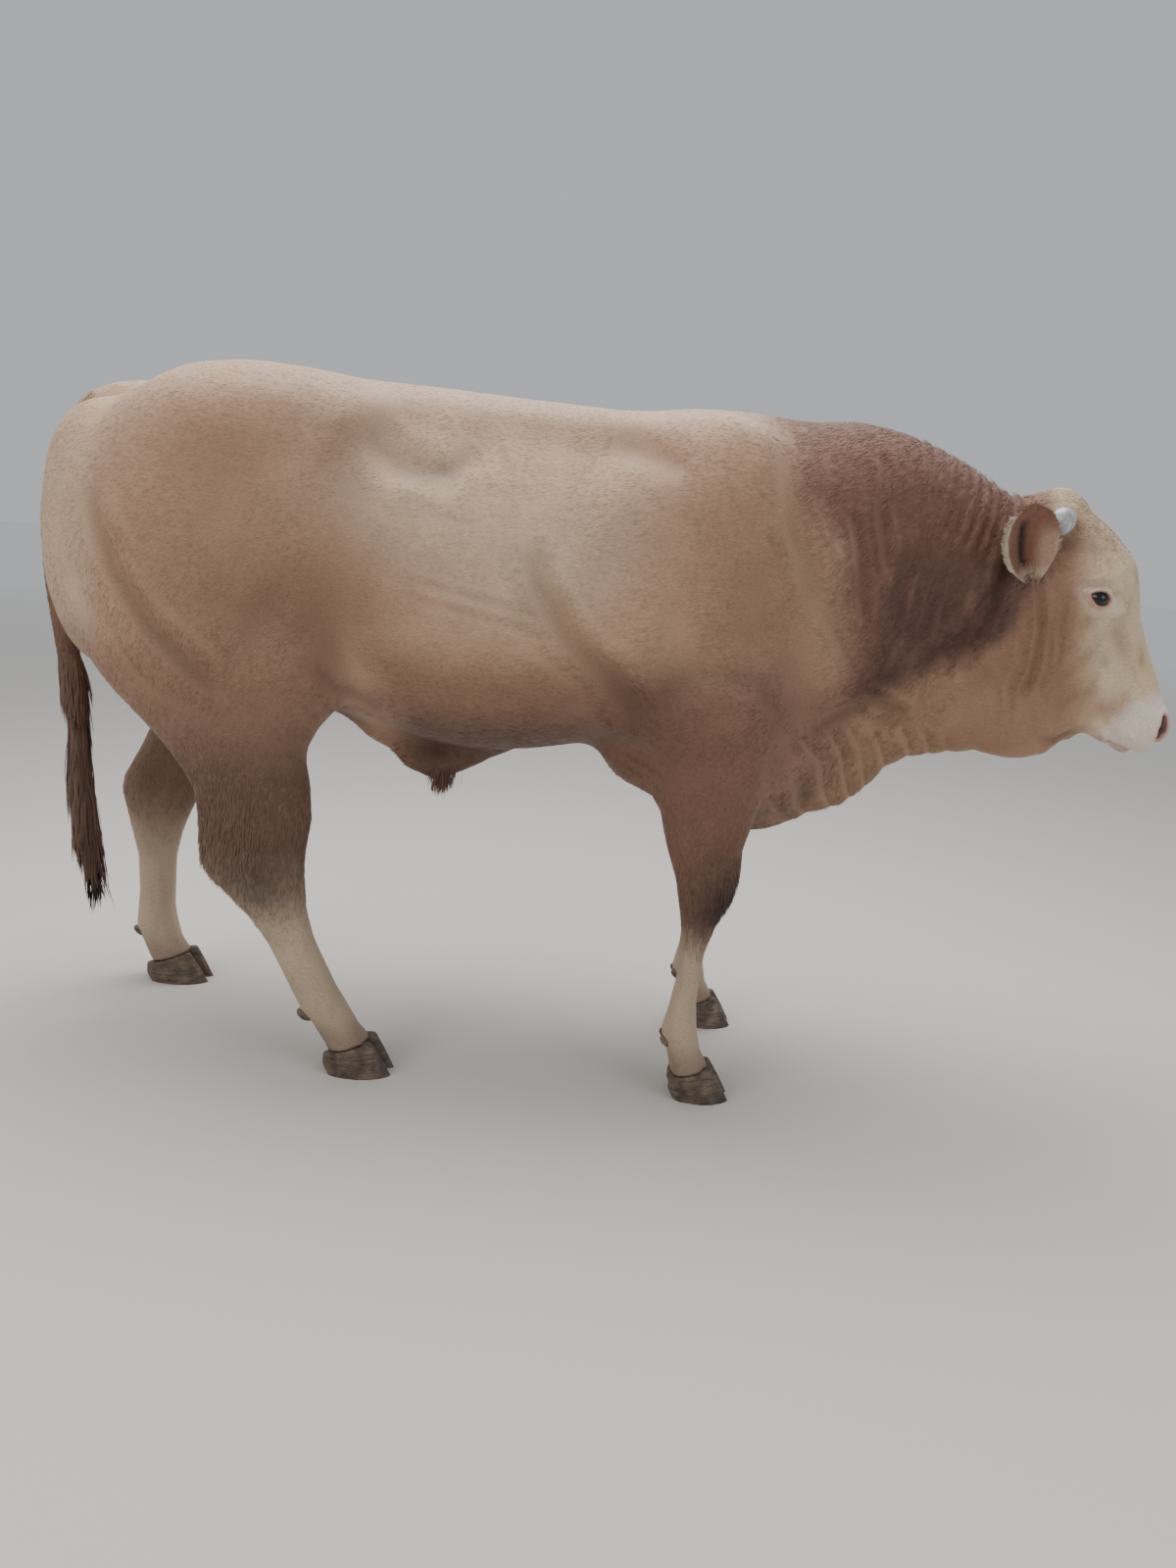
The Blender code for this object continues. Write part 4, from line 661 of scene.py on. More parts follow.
# Soft hollows, and swellings where the depth is negative: depth, x, z, half length, half height.
HOLLOWS = ((0.006, -0.60, 1.02, 0.07, 0.07), (0.006, -0.565, 0.94, 0.05, 0.05),
           (0.007, 0.17, 1.08, 0.06, 0.09), (0.010, 0.60, 0.885, 0.05, 0.04),
           (-0.008, -0.52, 1.43, 0.06, 0.05), (-0.007, 0.27, 0.91, 0.08, 0.07),
           (-0.006, 0.05, 1.20, 0.10, 0.14))
# The sets of folds: how deep they are and how far apart, in metres.
CREST_DEEP, CREST_APART = 0.0105, 0.027
SLACK_DEEP, SLACK_APART = 0.004, 0.036
PLEAT_DEEP, PLEAT_APART = 0.006, 0.055
ELBOW_DEEP, ELBOW_APART = 0.004, 0.030
LIPS_DEEP, LIPS_APART = 0.0010, 0.012


def furrows(p):
    """Depth of all furrows at each place, in metres, and how dark their shade is."""
    height, shade = np.zeros(len(p)), np.zeros(len(p))
    lateral = step(abs(p[:, 1]), 0.03, 0.09)
    for depth, half, *line in FURROWS.values():
        first, last = np.min(line, axis=0) - FURROW_REACH, np.max(line, axis=0) + FURROW_REACH
        near = ((p[:, (0, 2)] > first) & (p[:, (0, 2)] < last)).all(axis=1)
        if not near.any():
            continue
        away, share = path_distance(p[near, 0], p[near, 2], line)
        middle = np.sqrt(np.clip(4 * share * (1 - share), 0, 1))
        away = away * (1 + 0.25 * waver(p[near], 0.03, 31))
        strength = (0.25 + 0.75 * middle) * lateral[near]
        height[near] += strength * depth * (0.45 * bell(away, 2.1 * half, half) - bell(away, 0, half))
        shade[near] = np.maximum(shade[near], strength * bell(away, 0, half) * min(1, depth / 0.008))
    for depth, x, z, wide, high in HOLLOWS:
        height -= depth * bump_at(p, x, z, wide, high) * lateral
    return height, shade


def folds(p):
    """How far the hide stands out or in at each place, in metres."""
    x, _, z = p.T
    height = furrows(p)[0]
    crest = step(x, 0.64, 0.72) * step(x, 0.93, 0.89) * step(z, 1.20, 1.32) * (1 - on_head(p))
    crest *= np.clip(0.75 + 0.45 * waver(p, 0.05, 1), 0, 1)
    across = x - 0.30 * (z - 1.3) + 0.007 * waver(p, 0.045, 2)
    height += CREST_DEEP * crest * rolls(across, CREST_APART, 0.6)
    slack = step(x, 0.58, 0.66) * step(x, 0.90, 0.84) * step(z, 0.98, 1.08) * step(z, 1.34, 1.22)
    slack *= 0.5 + 0.5 * waver(p, 0.06, 3)
    height += SLACK_DEEP * slack * rolls(x - 0.20 * (z - 1.1) + 0.016 * waver(p, 0.06, 4), SLACK_APART)
    pleat = step(x, 0.44, 0.52) * step(x, 0.92, 0.86) * step(z, 0.90, 0.82)
    pleat *= 0.6 + 0.4 * waver(p, 0.05, 7)
    height += PLEAT_DEEP * pleat * rolls(x + 0.55 * (z - 0.8) + 0.02 * waver(p, 0.07, 8), PLEAT_APART)
    elbow = bump_at(p, 0.11, 0.79, 0.04, 0.07)
    height += ELBOW_DEEP * elbow * rolls(z + 0.5 * x + 0.008 * waver(p, 0.05, 9), ELBOW_APART)
    return height


def face_forms(p):
    """The hollow beside the nose, the cord over it, the brow and the folds round the eye."""
    height = np.zeros(len(p))
    along, out, up = head_places(p)
    for _, side in SIDES:
        a, o = along, out * side
        height -= 0.006 * bell(a, 0.335, 0.055) * bell(up, -0.034, 0.024) * step(o, 0.02, 0.05)
        height += 0.004 * bell(a, 0.40, 0.07) * bell(up, -0.110, 0.022) * step(o, 0.02, 0.05)
        height += 0.003 * bell(a, 0.19, 0.022) * bell(up, -0.022, 0.020) * step(o, 0.04, 0.07)
        angle, _, u = eye_angle(p, side)
        above = step(u, 0.0, 0.006)
        height -= (0.0020 * bell(angle, 1.80, 0.10) + 0.0014 * bell(angle, 2.3, 0.13)) * above
        height += 0.0012 * bell(angle, 2.05, 0.12) * above
        height -= 0.0012 * bell(angle, 1.62, 0.10) * step(u, 0.0, -0.006)
    lips = bell(along, 0.53, 0.03) * step(abs(out), 0.03, 0.05)
    height += LIPS_DEEP * lips * rolls(up + 0.6 * along + 0.003 * waver(p, 0.02, 11), LIPS_APART)
    return height * on_head(p)


p = points_of(skin) - SHIFT
n = normals_of(skin)
p = p + n * (folds(p) + face_forms(p))[:, None]
set_points(skin, p + SHIFT)
print("folds up to", round(float(np.abs(folds(p)).max()) * 1000, 1), "mm")

# %% [markdown]
# ## Room for the coat
# The solids reach out to the tips of the hair. The skin sinks inside them by as much as
# the flat coat stands off it: deepest on the neck and poll, least on the face and feet.


# %% Sink the skin
SKIN_TRIANGLES = 172000


def bare(p):
    """1 where the hide has no coat: rims of the lids, nostrils and the pad between them."""
    along, out, up = head_places(p)
    naked = step(along, 0.555, 0.575) * step(up, -0.085, -0.070) * step(abs(out), 0.050, 0.036)
    for _, side in SIDES:
        angle, _, _ = eye_angle(p, side)
        naked = np.maximum(naked, step(angle, 1.34, 1.22))
        naked = np.maximum(naked, step(nostril_depth(p, side), -0.009, -0.004))
    return naked


def coat_depth(p):
    head, neck = on_head(p), on_neck(p)
    legs = np.maximum(on_forelegs(p), on_hindlegs(p))
    along, _, _ = head_places(p)
    depth = 0.0032 + 0.0013 * neck * (1 - head)
    on_face = 0.0028 - 0.0022 * step(along, 0.35, 0.52) + 0.003 * step(along, 0.12, 0.02)
    depth = depth * (1 - head) + head * on_face
    depth = depth * (1 - legs) + legs * (0.0015 + 0.0025 * step(p[:, 2], 0.08, 0.5))
    return depth * (1 - 0.9 * bare(p))


p = points_of(skin) - SHIFT
n = normals_of(skin)
set_points(skin, p - n * coat_depth(p)[:, None] + SHIFT)
apply_modifier(skin, "TRIANGULATE")
plain = np.ones(len(skin.data.vertices))
p = points_of(skin) - SHIFT
for _, side in SIDES:
    for place in (EYE_PLACE, NOSTRIL_MIDDLE):
        away = np.linalg.norm(p - head_point(place, side), axis=1)
        plain = np.minimum(plain, step(away, 0.030, 0.070))
plain = np.round(plain, 1)
group = skin.vertex_groups.new(name="plain")
for share in np.unique(plain):
    group.add(np.flatnonzero(plain == share).tolist(), float(share), "REPLACE")
ratio = min(1.0, SKIN_TRIANGLES / len(skin.data.polygons))
apply_modifier(skin, "DECIMATE", ratio=ratio, vertex_group="plain", vertex_group_factor=0.02)
skin.vertex_groups.clear()
print("skin:", len(skin.data.polygons), "triangles")

# %% [markdown]
# ## Ears
# An ear is a thin cupped leaf. It would tear in the coarse remesh, so a smoothed copy of
# each solid ear is joined to the finished skin by a Boolean union, which leaves no seam.

# %% Join the ears
EAR_FACE, EAR_HALF = (0.593, 0.731, 0.141), 0.060
EAR_RIDGE, EAR_CHANNEL = 0.0022, 0.0045
EAR_LENGTHS = (0.0, 0.10, 0.25, 0.42, 0.60, 0.78, 0.90, 0.97, 1.0)
EAR_WIDTHS = (0.16, 0.46, 0.80, 0.98, 1.0, 0.88, 0.62, 0.34, 0.12)


def ear_places(p, side):
    """Share of the way from an ear's root to its tip, place between its rims (1 is the rear one),
    height out of the cup, and the directions along the ear, rearward and out of the cup."""
    base = head_point(EAR_BASE, side)
    axis = head_point(EAR_TIP, side) - base
    length = np.linalg.norm(axis)
    axis = axis / length
    face = head_vector(EAR_FACE, side)
    face = unit(face - axis * (face @ axis))
    rear = np.cross(axis, face) * side
    q = p - base
    u = q @ axis / length
    return u, q @ rear / (EAR_HALF * np.interp(u, EAR_LENGTHS, EAR_WIDTHS)), q @ face, axis, rear, face


def hollow_ear(ear, side):
    """Press the dark channel into the cup and roll the rims out over it."""
    p, n = points_of(ear) - SHIFT, normals_of(ear)
    u, r, _, _, _, face = ear_places(p, side)
    inner = step(n @ face, 0.2, 0.7)
    channel = bell(r, 0.10 + 0.10 * u, 0.24) * step(u, 0.05, 0.20) * step(u, 0.88, 0.72)
    ridge = bell(r, -0.38, 0.14) * step(u, 0.15, 0.30) * step(u, 0.80, 0.60)
    set_points(ear, p + SHIFT + face * (inner * (EAR_RIDGE * ridge - EAR_CHANNEL * channel))[:, None])


ear_surface = {}
for side_name, side in SIDES:
    ear = copy_node("ear_" + side_name)
    apply_modifier(ear, "SUBSURF", levels=1, render_levels=1)
    apply_modifier(ear, "SMOOTH", factor=0.5, iterations=4)
    swell(ear, -0.0002)
    hollow_ear(ear, side)
    ear_surface[side] = BVHTree.FromPolygons([v.co for v in ear.data.vertices],
                                             [tuple(f.vertices) for f in ear.data.polygons])
    apply_modifier(skin, "BOOLEAN", operation="UNION", solver="MANIFOLD", object=ear)
    bpy.data.objects.remove(ear)
apply_modifier(skin, "TRIANGULATE")
print("skin with ears:", len(skin.data.polygons), "triangles, strays:", keep_largest(skin))

# %% [markdown]
# ## Unwrap
# The coat and skin share one unwrap, so that a baked picture can hold the colours of both.

# %% Unwrap the skin
while skin.data.uv_layers:
    skin.data.uv_layers.remove(skin.data.uv_layers[0])
skin.data.uv_layers.new(name="OFBake")
on_whole_mesh(skin, bpy.ops.uv.smart_project, angle_limit=math.radians(70), island_margin=0.001)
bpy.ops.object.shade_smooth()
print("unwrapped")

# %% [markdown]
# ## Markings
# The breed is one colour, wheat, but the bull is coloured by nature: cream on the upper
# flank and loin, tan on rump and shoulder, ruddy on the thigh, a red-brown neck, a pale
# face and throat, a pinkish white muzzle, and soiled dark hair on knees, hocks and switch.
# Painted light is laid over them too. There is a painted highlight along the top of the back
# and on the upper flank. There is painted shade on the belly, lower ribs, lower neck and
# lower thigh, behind the elbow and before the hip, in the furrows of the hide, in the hollows
# and creases of the face, in the nostrils and ear slits, and round the eyes.
# The same function colours skin and coat, so the markings agree. Its regions are soft
# spots and lines placed on the body.

# %% Colours of the hide
WHEAT, CREAM_AND_HIGHLIGHT, TAN = "#B7967D", "#CAB199", "#9C7962"
RUDDY_AND_SHADE, PAINTED_SHADE, BELLY_SHADE = "#7E5C4C", "#5A443A", "#5E483D"
RED_NECK, LOWER_NECK_SHADE, STREAK = "#704D41", "#523B34", "#825F51"
THROAT, FACE, JAW_BROWN_AND_SHADE = "#A17F67", "#CFB99B", "#8C6A55"
MUZZLE, PINK, RIM = "#D8C9BD", "#C2968A", "#B07C74"
LID, BLUSH, GOLD = "#D8BFB1", "#9C7263", "#CBAE82"
CANNON, SOIL_AND_SHADE, MUD, NOSE_DARK = "#B5A18A", "#54423A", "#3C302C", "#857060"
EAR_IN, EAR_BACK, FRINGE, SCROTUM = "#835C4A", "#8A624D", "#D9C9B4", "#B8917E"
SLIT_SHADE, EAR_HAIR, LASH, NOSTRIL_SHADE = "#1F1514", "#A98D70", "#8F7866", "#2E1D1C"


def blend(first, second, share):
    """Rows that are the first where the share is 0, the second where it is 1, and between them else."""
    share = share[:, None]
    return first * (1 - share) + second * share


def hide_colour(p):
    """Linear colour of the coat at each place in the modelling frame, painted shade and highlight included.
    """
    x, y, z = p.T
    colour = np.tile(linear(WHEAT), (len(p), 1))

    def lay(code, mask):
        nonlocal colour
        colour = blend(colour, linear(code), np.clip(mask, 0, 1))

    wander = waver(p, 0.10, 20)
    # Cream on the upper flank and loin, brightened further as a painted highlight where light from above
    # falls.
    lay(CREAM_AND_HIGHLIGHT, 0.8 * bump_at(p, -0.42, 1.28, 0.22, 0.14) + 0.75 * bump_at(p, -0.12, 1.24, 0.16, 0.15))
    # Painted highlight: a paler strip along the top of the back.
    lay(CREAM_AND_HIGHLIGHT, 0.5 * step(z, 1.44, 1.50) * step(x, 0.40, 0.30))
    lay(TAN, 0.85 * bump_at(p, -0.78, 1.30, 0.22, 0.22) + 0.4 * bump_at(p, 0.20, 1.32, 0.18, 0.16))
    lay(TAN, 0.8 * bump_at(p, 0.28, 1.08, 0.20, 0.20) + 0.5 * bump_at(p, 0.32, 1.28, 0.12, 0.18))
    lay(RUDDY_AND_SHADE, 0.55 * bump_at(p, 0.36, 1.02, 0.13, 0.14))
    lay(TAN, 0.6 * bump_at(p, -0.55, 1.12, 0.16, 0.14) + 0.6 * bump_at(p, -0.92, 1.16, 0.12, 0.16))
    # Ruddy on the thigh. The small spot before the hip bone is painted shade in its hollow.
    lay(RUDDY_AND_SHADE, 0.85 * bump_at(p, -0.70, 1.02, 0.24, 0.17) + 0.30 * bump_at(p, -0.55, 1.33, 0.05, 0.07))
    lay(CREAM_AND_HIGHLIGHT, 0.45 * step(x, -1.02, -1.10) * step(z, 0.85, 1.0))
    # Painted shade: ruddy brown darkening the lower ribs towards the belly.
    lay(RUDDY_AND_SHADE, 0.8 * step(z, 1.04, 0.90) * step(x, -0.52, -0.40) * step(x, 0.62, 0.5))
    # Painted shade on the underside of the belly.
    lay(BELLY_SHADE, 0.85 * step(z, 0.90, 0.78) * step(x, -0.46, -0.36) * step(x, 0.40, 0.30))
    # Painted shade behind the elbow, where the foreleg meets the chest.
    lay(PAINTED_SHADE, 0.65 * bump_at(p, 0.13, 0.86, 0.09, 0.12))
    neck, head = step(past_collar(p) + 0.030 * waver(p, 0.05, 24), -0.06, 0.08), on_head(p)
    lay(RED_NECK, 0.92 * neck)
    # Painted shade: the lower neck darker below the crest.
    lay(LOWER_NECK_SHADE, 0.75 * neck * step(z, 1.36, 1.16) * step(x, 0.50, 0.62))
    lay(STREAK, 0.6 * neck * bump_at(p, 0.56, 1.17, 0.035, 0.16))
    lay(STREAK, 0.6 * neck * step(waver(p, 0.022, 25), 0.1, 0.9))
    lower = line_x(x, (0.40, 0.60, 0.75, 0.90), (0.88, 0.95, 1.03, 1.10))
    lay(THROAT, 0.9 * neck * step(z - lower, 0.03, -0.05))
    lay(JAW_BROWN_AND_SHADE, 0.92 * head)
    along, out, up = head_places(p)
    lay(FACE, 0.96 * head * step(x + 0.15 * (z - 1.1) + 0.016 * waver(p, 0.018, 26), 0.975, 1.085))
    lay(FACE, 0.9 * head * step(z, 1.30, 1.38))
    lay(THROAT, 0.8 * head * step(z, 1.00, 0.93) * step(x, 1.04, 0.98))
    blotches = step(waver(p, 0.011, 27), 0.0, 1.0) * step(along, 0.02, 0.10) * step(along, 0.52, 0.44)
    lay(JAW_BROWN_AND_SHADE, 0.38 * head * blotches)
    # Painted shade on the lower side of the face behind the muzzle.
    lay(JAW_BROWN_AND_SHADE, 0.55 * head * bell(along, 0.42, 0.06) * step(up, -0.12, -0.16))
    # Painted shade in the hollow beside the nose, then a small dark spot further along the face.
    lay(NOSE_DARK, 0.60 * head * bell(along, 0.335, 0.055) * bell(up, -0.032, 0.020))
    lay(NOSE_DARK, 0.75 * head * bell(along, 0.393, 0.012) * bell(up, -0.006, 0.010))
    lay(TAN, 0.40 * head * bell(along, 0.08, 0.07) * step(up, -0.07, 0.0))
    lay(GOLD, 0.55 * head * bell(along, 0.425, 0.045) * step(up, -0.05, -0.01))
    edge = line_x(up, (-0.14, -0.102, -0.05, 0.0), (0.513, 0.474, 0.463, 0.470))
    lay(MUZZLE, 0.92 * head * step(along - edge + 0.008 * waver(p, 0.008, 28), -0.012, 0.016))
    uneven = 0.75 + 0.4 * waver(p, 0.008, 29)
    lay(BLUSH, 0.65 * head * bell(along, 0.462, 0.030) * bell(up, -0.100, 0.036) * uneven)
    below = up - line_x(along, (0.533, 0.558, 0.576, 0.594), (-0.126, -0.104, -0.090, -0.079))
    # Painted shade on the chin below the mouth, under the overhang of the upper lip.
    lay(JAW_BROWN_AND_SHADE, 0.75 * head * step(below, -0.001, -0.012) * step(along, 0.50, 0.53))
    for _, side in SIDES:
        angle, _, rise = eye_angle(p, side)
        lay(MUZZLE, 0.26 * step(angle, 3.0, 1.8))
        lay(LID, 0.75 * step(angle, 1.80, 1.55) * step(rise, -0.004, 0.004))
        lay(PINK, 0.70 * step(angle, 1.75, 1.25) * step(rise, 0.002, -0.006))
        lay(RIM, 0.70 * step(angle, 1.22, 1.10))
        # A dark wet rim where the lids meet the ball, deepened as painted shade of the lids and lashes.
        lay(SOIL_AND_SHADE, 0.92 * step(angle, 1.08, 1.00))
        lay(PINK, 0.8 * step(nostril_depth(p, side), -0.010, -0.004))
        # Painted shade inside the nostrils.
        lay(NOSTRIL_SHADE, 0.96 * step(nostril_depth(p, side), -0.002, 0.003))
    lay(PINK, 0.40 * head * bell(mouth_distance(p), 0, 0.010))
    # Painted shade in the crease of the mouth.
    lay(SOIL_AND_SHADE, 0.50 * head * bell(mouth_distance(p), 0, 0.0026))
    nose_pad = step(along, 0.548, 0.565) * step(up, -0.085, -0.060) * step(abs(out), 0.060, 0.040)
    lay(BLUSH, 0.5 * head * nose_pad)
    fore, hind, tail = on_forelegs(p), on_hindlegs(p), on_tail(p)
    lay(RUDDY_AND_SHADE, 0.75 * np.maximum(fore, step(x, 0.0, 0.06) * step(x, 0.46, 0.38)) * step(z, 0.98, 0.78))
    lay(RUDDY_AND_SHADE, 0.70 * step(x, -0.50, -0.58) * step(z, 1.06, 0.86) * (1 - tail))
    # Painted shade down the lower thigh, under the bulge of the thigh.
    lay(PAINTED_SHADE, 0.65 * step(x, -0.50, -0.58) * step(z, 0.92, 0.66) * (1 - tail))
    legs = np.maximum(fore, hind)
    lay(CANNON, 0.9 * np.maximum(fore * step(z, 0.45, 0.33), hind * step(z, 0.56, 0.32)))
    lay(MUD, 0.85 * fore * bump_at(p, 0.33, 0.47, 0.09, 0.10))
    lay(MUD, 0.65 * hind * bump_at(p, -0.70, 0.46, 0.10, 0.10) * (0.8 + 0.4 * wander))
    lay(SOIL_AND_SHADE, 0.5 * legs * step(z, 0.14, 0.08))
    lay(TAN, 0.8 * tail)
    lay(RUDDY_AND_SHADE, 0.8 * tail * step(z, 1.30, 1.02))
    lay(SOIL_AND_SHADE, 0.75 * tail * step(z, 1.10, 0.80))
    purse = step(z, 0.88, 0.80) * step(x, -0.72, -0.76) * step(abs(y), 0.09, 0.07)
    lay(SCROTUM, 0.8 * purse * (1 - hind) * (1 - tail))
    shade = 1 + 0.07 * wander + 0.05 * waver(p, 0.035, 21) + 0.03 * waver(p, 0.012, 22)
    # Painted shade in the furrows darkens the colour.
    shade = shade * (1 - 0.30 * furrows(p)[1])
    return colour * shade[:, None]


def on_ears(p):
    """For each side the same places, with a share of -9 where a place isn't on the ear."""
    result = []
    for _, side in SIDES:
        u, r, f, axis, rear, face = ear_places(p, side)
        maybe = (u > -0.05) & (u < 1.1) & (abs(r) < 2.5) & (abs(f) < 0.08)
        on = np.zeros(len(p), bool)
        for n in np.flatnonzero(maybe):
            on[n] = ear_surface[side].find_nearest(Vector(p[n] + SHIFT), 0.0025)[0] is not None
        result.append((np.where(on, u, -9.0), r, axis, rear, face))
    return result


def ear_colour(colour, p, n):
    """Red-brown ears: pale fringe on the rear rim, painted shade along the slit in the cup, pale hair at the
    notch.
    """
    for u, r, _, _, face in on_ears(p):
        on = step(u, 0.0, 0.10) * (u > -1)
        inside = step(n @ face, 0.0, 0.4)
        slit = bell(r, 0.10 + 0.10 * u, 0.17) * step(u, 0.10, 0.22) * step(u, 0.82, 0.70)
        ear = blend(linear(EAR_BACK), linear(EAR_IN), inside)
        for code, mask in ((CREAM_AND_HIGHLIGHT, 0.5 * inside * step(r, -0.2, -0.7) * step(u, 0.75, 0.45)),
                           # Painted shade along the channel of the cup.
                           (SLIT_SHADE, 0.95 * inside * slit),
                           (FRINGE, 0.8 * step(r, 0.72, 0.90) * step(u, 0.10, 0.25)),
                           (FRINGE, 0.55 * inside * step(u, 0.20, 0.06))):
            ear = blend(ear, linear(code), mask)
        colour = blend(colour, ear, on)
    return colour


def full_colour(p, n):
    """The hide's colour with the ears laid over it."""
    return np.clip(ear_colour(hide_colour(p), p, n), 0, 1)


def store_colour(obj, colour, name="coat_colour"):
    layer = obj.data.color_attributes.new(name=name, type="FLOAT_COLOR", domain="POINT")
    rgba = np.ones((len(colour), 4), np.float32)
    rgba[:, :3] = np.clip(colour, 0, 1)
    layer.data.foreach_set("color", rgba.ravel())


p, n = points_of(skin) - SHIFT, normals_of(skin)
store_colour(skin, full_colour(p, n))
print("markings laid on", len(p), "points")

# %% Material of the hide
def coat_finish(name, streak, depth, roughness):
    """Short dry hair seen as fine streaks over the markings, soft and with a faint sheen."""
    material, tree, shader = new_material(name, TAN, roughness)
    shader.inputs["Specular IOR Level"].default_value = 0.28
    shader.inputs["Sheen Weight"].default_value = 0.18
    shader.inputs["Sheen Roughness"].default_value = 0.45
    shader.inputs["Sheen Tint"].default_value = (*linear("#E8E2DC"), 1)
    marks = add_node(tree, "ShaderNodeAttribute", attribute_name="coat_colour")
    hairs = add_noise(tree, streak, Scale=1.0, Detail=3.0, Roughness=0.6)
    value = add_node(tree, "ShaderNodeMapRange", [("Value", hairs.outputs["Fac"])],
                     From_Min=0.3, From_Max=0.7, To_Min=0.82, To_Max=1.14)
    tint = add_node(tree, "ShaderNodeMix", [(6, marks.outputs["Color"]), (7, value.outputs["Result"])],
                    data_type="RGBA", blend_type="MULTIPLY")
    tint.inputs[0].default_value = 1.0
    tree.links.new(tint.outputs[2], shader.inputs["Base Color"])
    add_bump(tree, shader, hairs, depth)
    return material


hide = coat_finish("cattle hide under short hair", (110, 420, 420), 0.0015, 0.72)
skin.data.materials.clear()
skin.data.materials.append(hide)
skin.data.polygons.foreach_set("material_index", np.zeros(len(skin.data.polygons), np.int32))
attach(skin, "root")
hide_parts(*FLESH, "sheath", "tail_switch", "ear_right", "ear_left")
print("skin dressed")

# %% [markdown]
# ## Eyes
# A bull's eye is a dark wet ball with a wide level pupil. The ball is modelled whole, with
# a cornea that bulges a little, and its colours are painted round its middle.

# %% Model the eyes
IRIS, IRIS_EDGE, PUPIL = "#1E1614", "#4A3A36", "#10151F"
PUPIL_HALVES = (0.0095, 0.0058)
CORNEA_RISE = 0.0010


def wet_eye():
    """Wet living eye: the clear cornea gives a small sharp gleam over the dark iris."""
    material, tree, shader = new_material("wet cornea over dark iris", "#1A1210", 0.12)
    shader.inputs["IOR"].default_value = 1.376
    shader.inputs["Specular IOR Level"].default_value = 0.2
    shader.inputs["Coat IOR"].default_value = 1.376
    shader.inputs["Coat Weight"].default_value = 1.0
    shader.inputs["Coat Roughness"].default_value = 0.03
    marks = add_node(tree, "ShaderNodeAttribute", attribute_name="eye_colour")
    tree.links.new(marks.outputs["Color"], shader.inputs["Base Color"])
    return material


wet = wet_eye()
for side_name, side in SIDES:
    centre, out, ahead, up = eye_frame(side)
    bpy.ops.object.select_all(action="DESELECT")
    bpy.ops.mesh.primitive_uv_sphere_add(segments=96, ring_count=64, radius=EYE_RADIUS - 0.0004)
    eye = bpy.context.object
    eye.name = "eyeball_" + side_name
    ball = points_of(eye)
    spread = np.hypot(ball[:, 0], ball[:, 1])
    front = ball[:, 2] > 0
    ball[:, 2] += np.where(front, CORNEA_RISE * step(spread, 0.0150, 0.007), 0)
    pupil = np.hypot(ball[:, 0] / PUPIL_HALVES[0], ball[:, 1] / PUPIL_HALVES[1])
    spokes = 0.85 + 0.2 * np.sin(np.arctan2(ball[:, 1], ball[:, 0]) * 37) * step(spread, 0.004, 0.010)
    paint = np.tile(linear(IRIS), (len(ball), 1)) * spokes[:, None]
    paint = blend(paint, linear(IRIS_EDGE), step(spread, 0.0165, 0.0200))
    store_colour(eye, blend(paint, linear(PUPIL), step(pupil, 1.2, 0.9)), "eye_colour")
    set_points(eye, ball @ np.array((ahead, up, out)) + centre + SHIFT)
    on_whole_mesh(eye, bpy.ops.mesh.normals_make_consistent, inside=False)
    bpy.ops.object.shade_smooth()
    eye.data.materials.append(wet)
    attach(eye, "root")
    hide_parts("eye_" + side_name)
print("two eyes, radius", EYE_RADIUS)

# %% [markdown]
# ## Horn buds and claws
# Horn grows in layers, so the hooves carry faint rings level with the hair line and the
# buds a chalky grain. Each is a smoothed copy of its solid.


# %% Horn materials
def horn_finish(name, pale, dark, ring, roughness):
    """Keratin grown in layers: rings across its growth, matt with wear and a little dirt."""
    material, tree, shader = new_material(name, pale, roughness)
    layers = add_noise(tree, ring, Scale=1.0, Detail=4.0, Roughness=0.65)
    blotch = add_noise(tree, (1, 1, 1), Scale=38.0, Detail=5.0, Roughness=0.6)
    both = add_node(tree, "ShaderNodeMath", [(0, layers.outputs["Fac"]), (1, blotch.outputs["Fac"])],
                    operation="MULTIPLY")
    ramp = add_node(tree, "ShaderNodeValToRGB", [("Fac", both.outputs["Value"])])
    for element, position, colour in zip(ramp.color_ramp.elements, (0.14, 0.40), (dark, pale)):
        element.position, element.color = position, (*linear(colour), 1)
    tree.links.new(ramp.outputs["Color"], shader.inputs["Base Color"])
    add_bump(tree, shader, layers, 0.0012)
    return material


hoof_horn = horn_finish("soiled hoof horn", "#7C6A58", "#38302A", (25, 25, 330), 0.55)
bud_horn = horn_finish("chalky young horn", "#D3D8DE", "#8F8A86", (70, 70, 70), 0.45)
SOLE_HEIGHT = 0.0015


def horn_piece(node, name, slot, material, cell, rounds):
    """A solid horn part remeshed fine and rubbed smooth."""
    piece = copy_node(node)
    piece.name = name
    piece.data.remesh_voxel_size = cell
    bpy.ops.object.voxel_remesh()
    keep_largest(piece)
    sole = points_of(piece)[:, 2] < SOLE_HEIGHT
    rub(piece, np.where(sole, 0.0, 0.5), rounds)
    p = points_of(piece)
    p[sole, 2] = np.maximum(p[sole, 2], 0)
    set_points(piece, p)
    only(piece)
    bpy.ops.object.shade_smooth()
    piece.data.materials.append(material)
    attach(piece, "root")
    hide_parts(node)


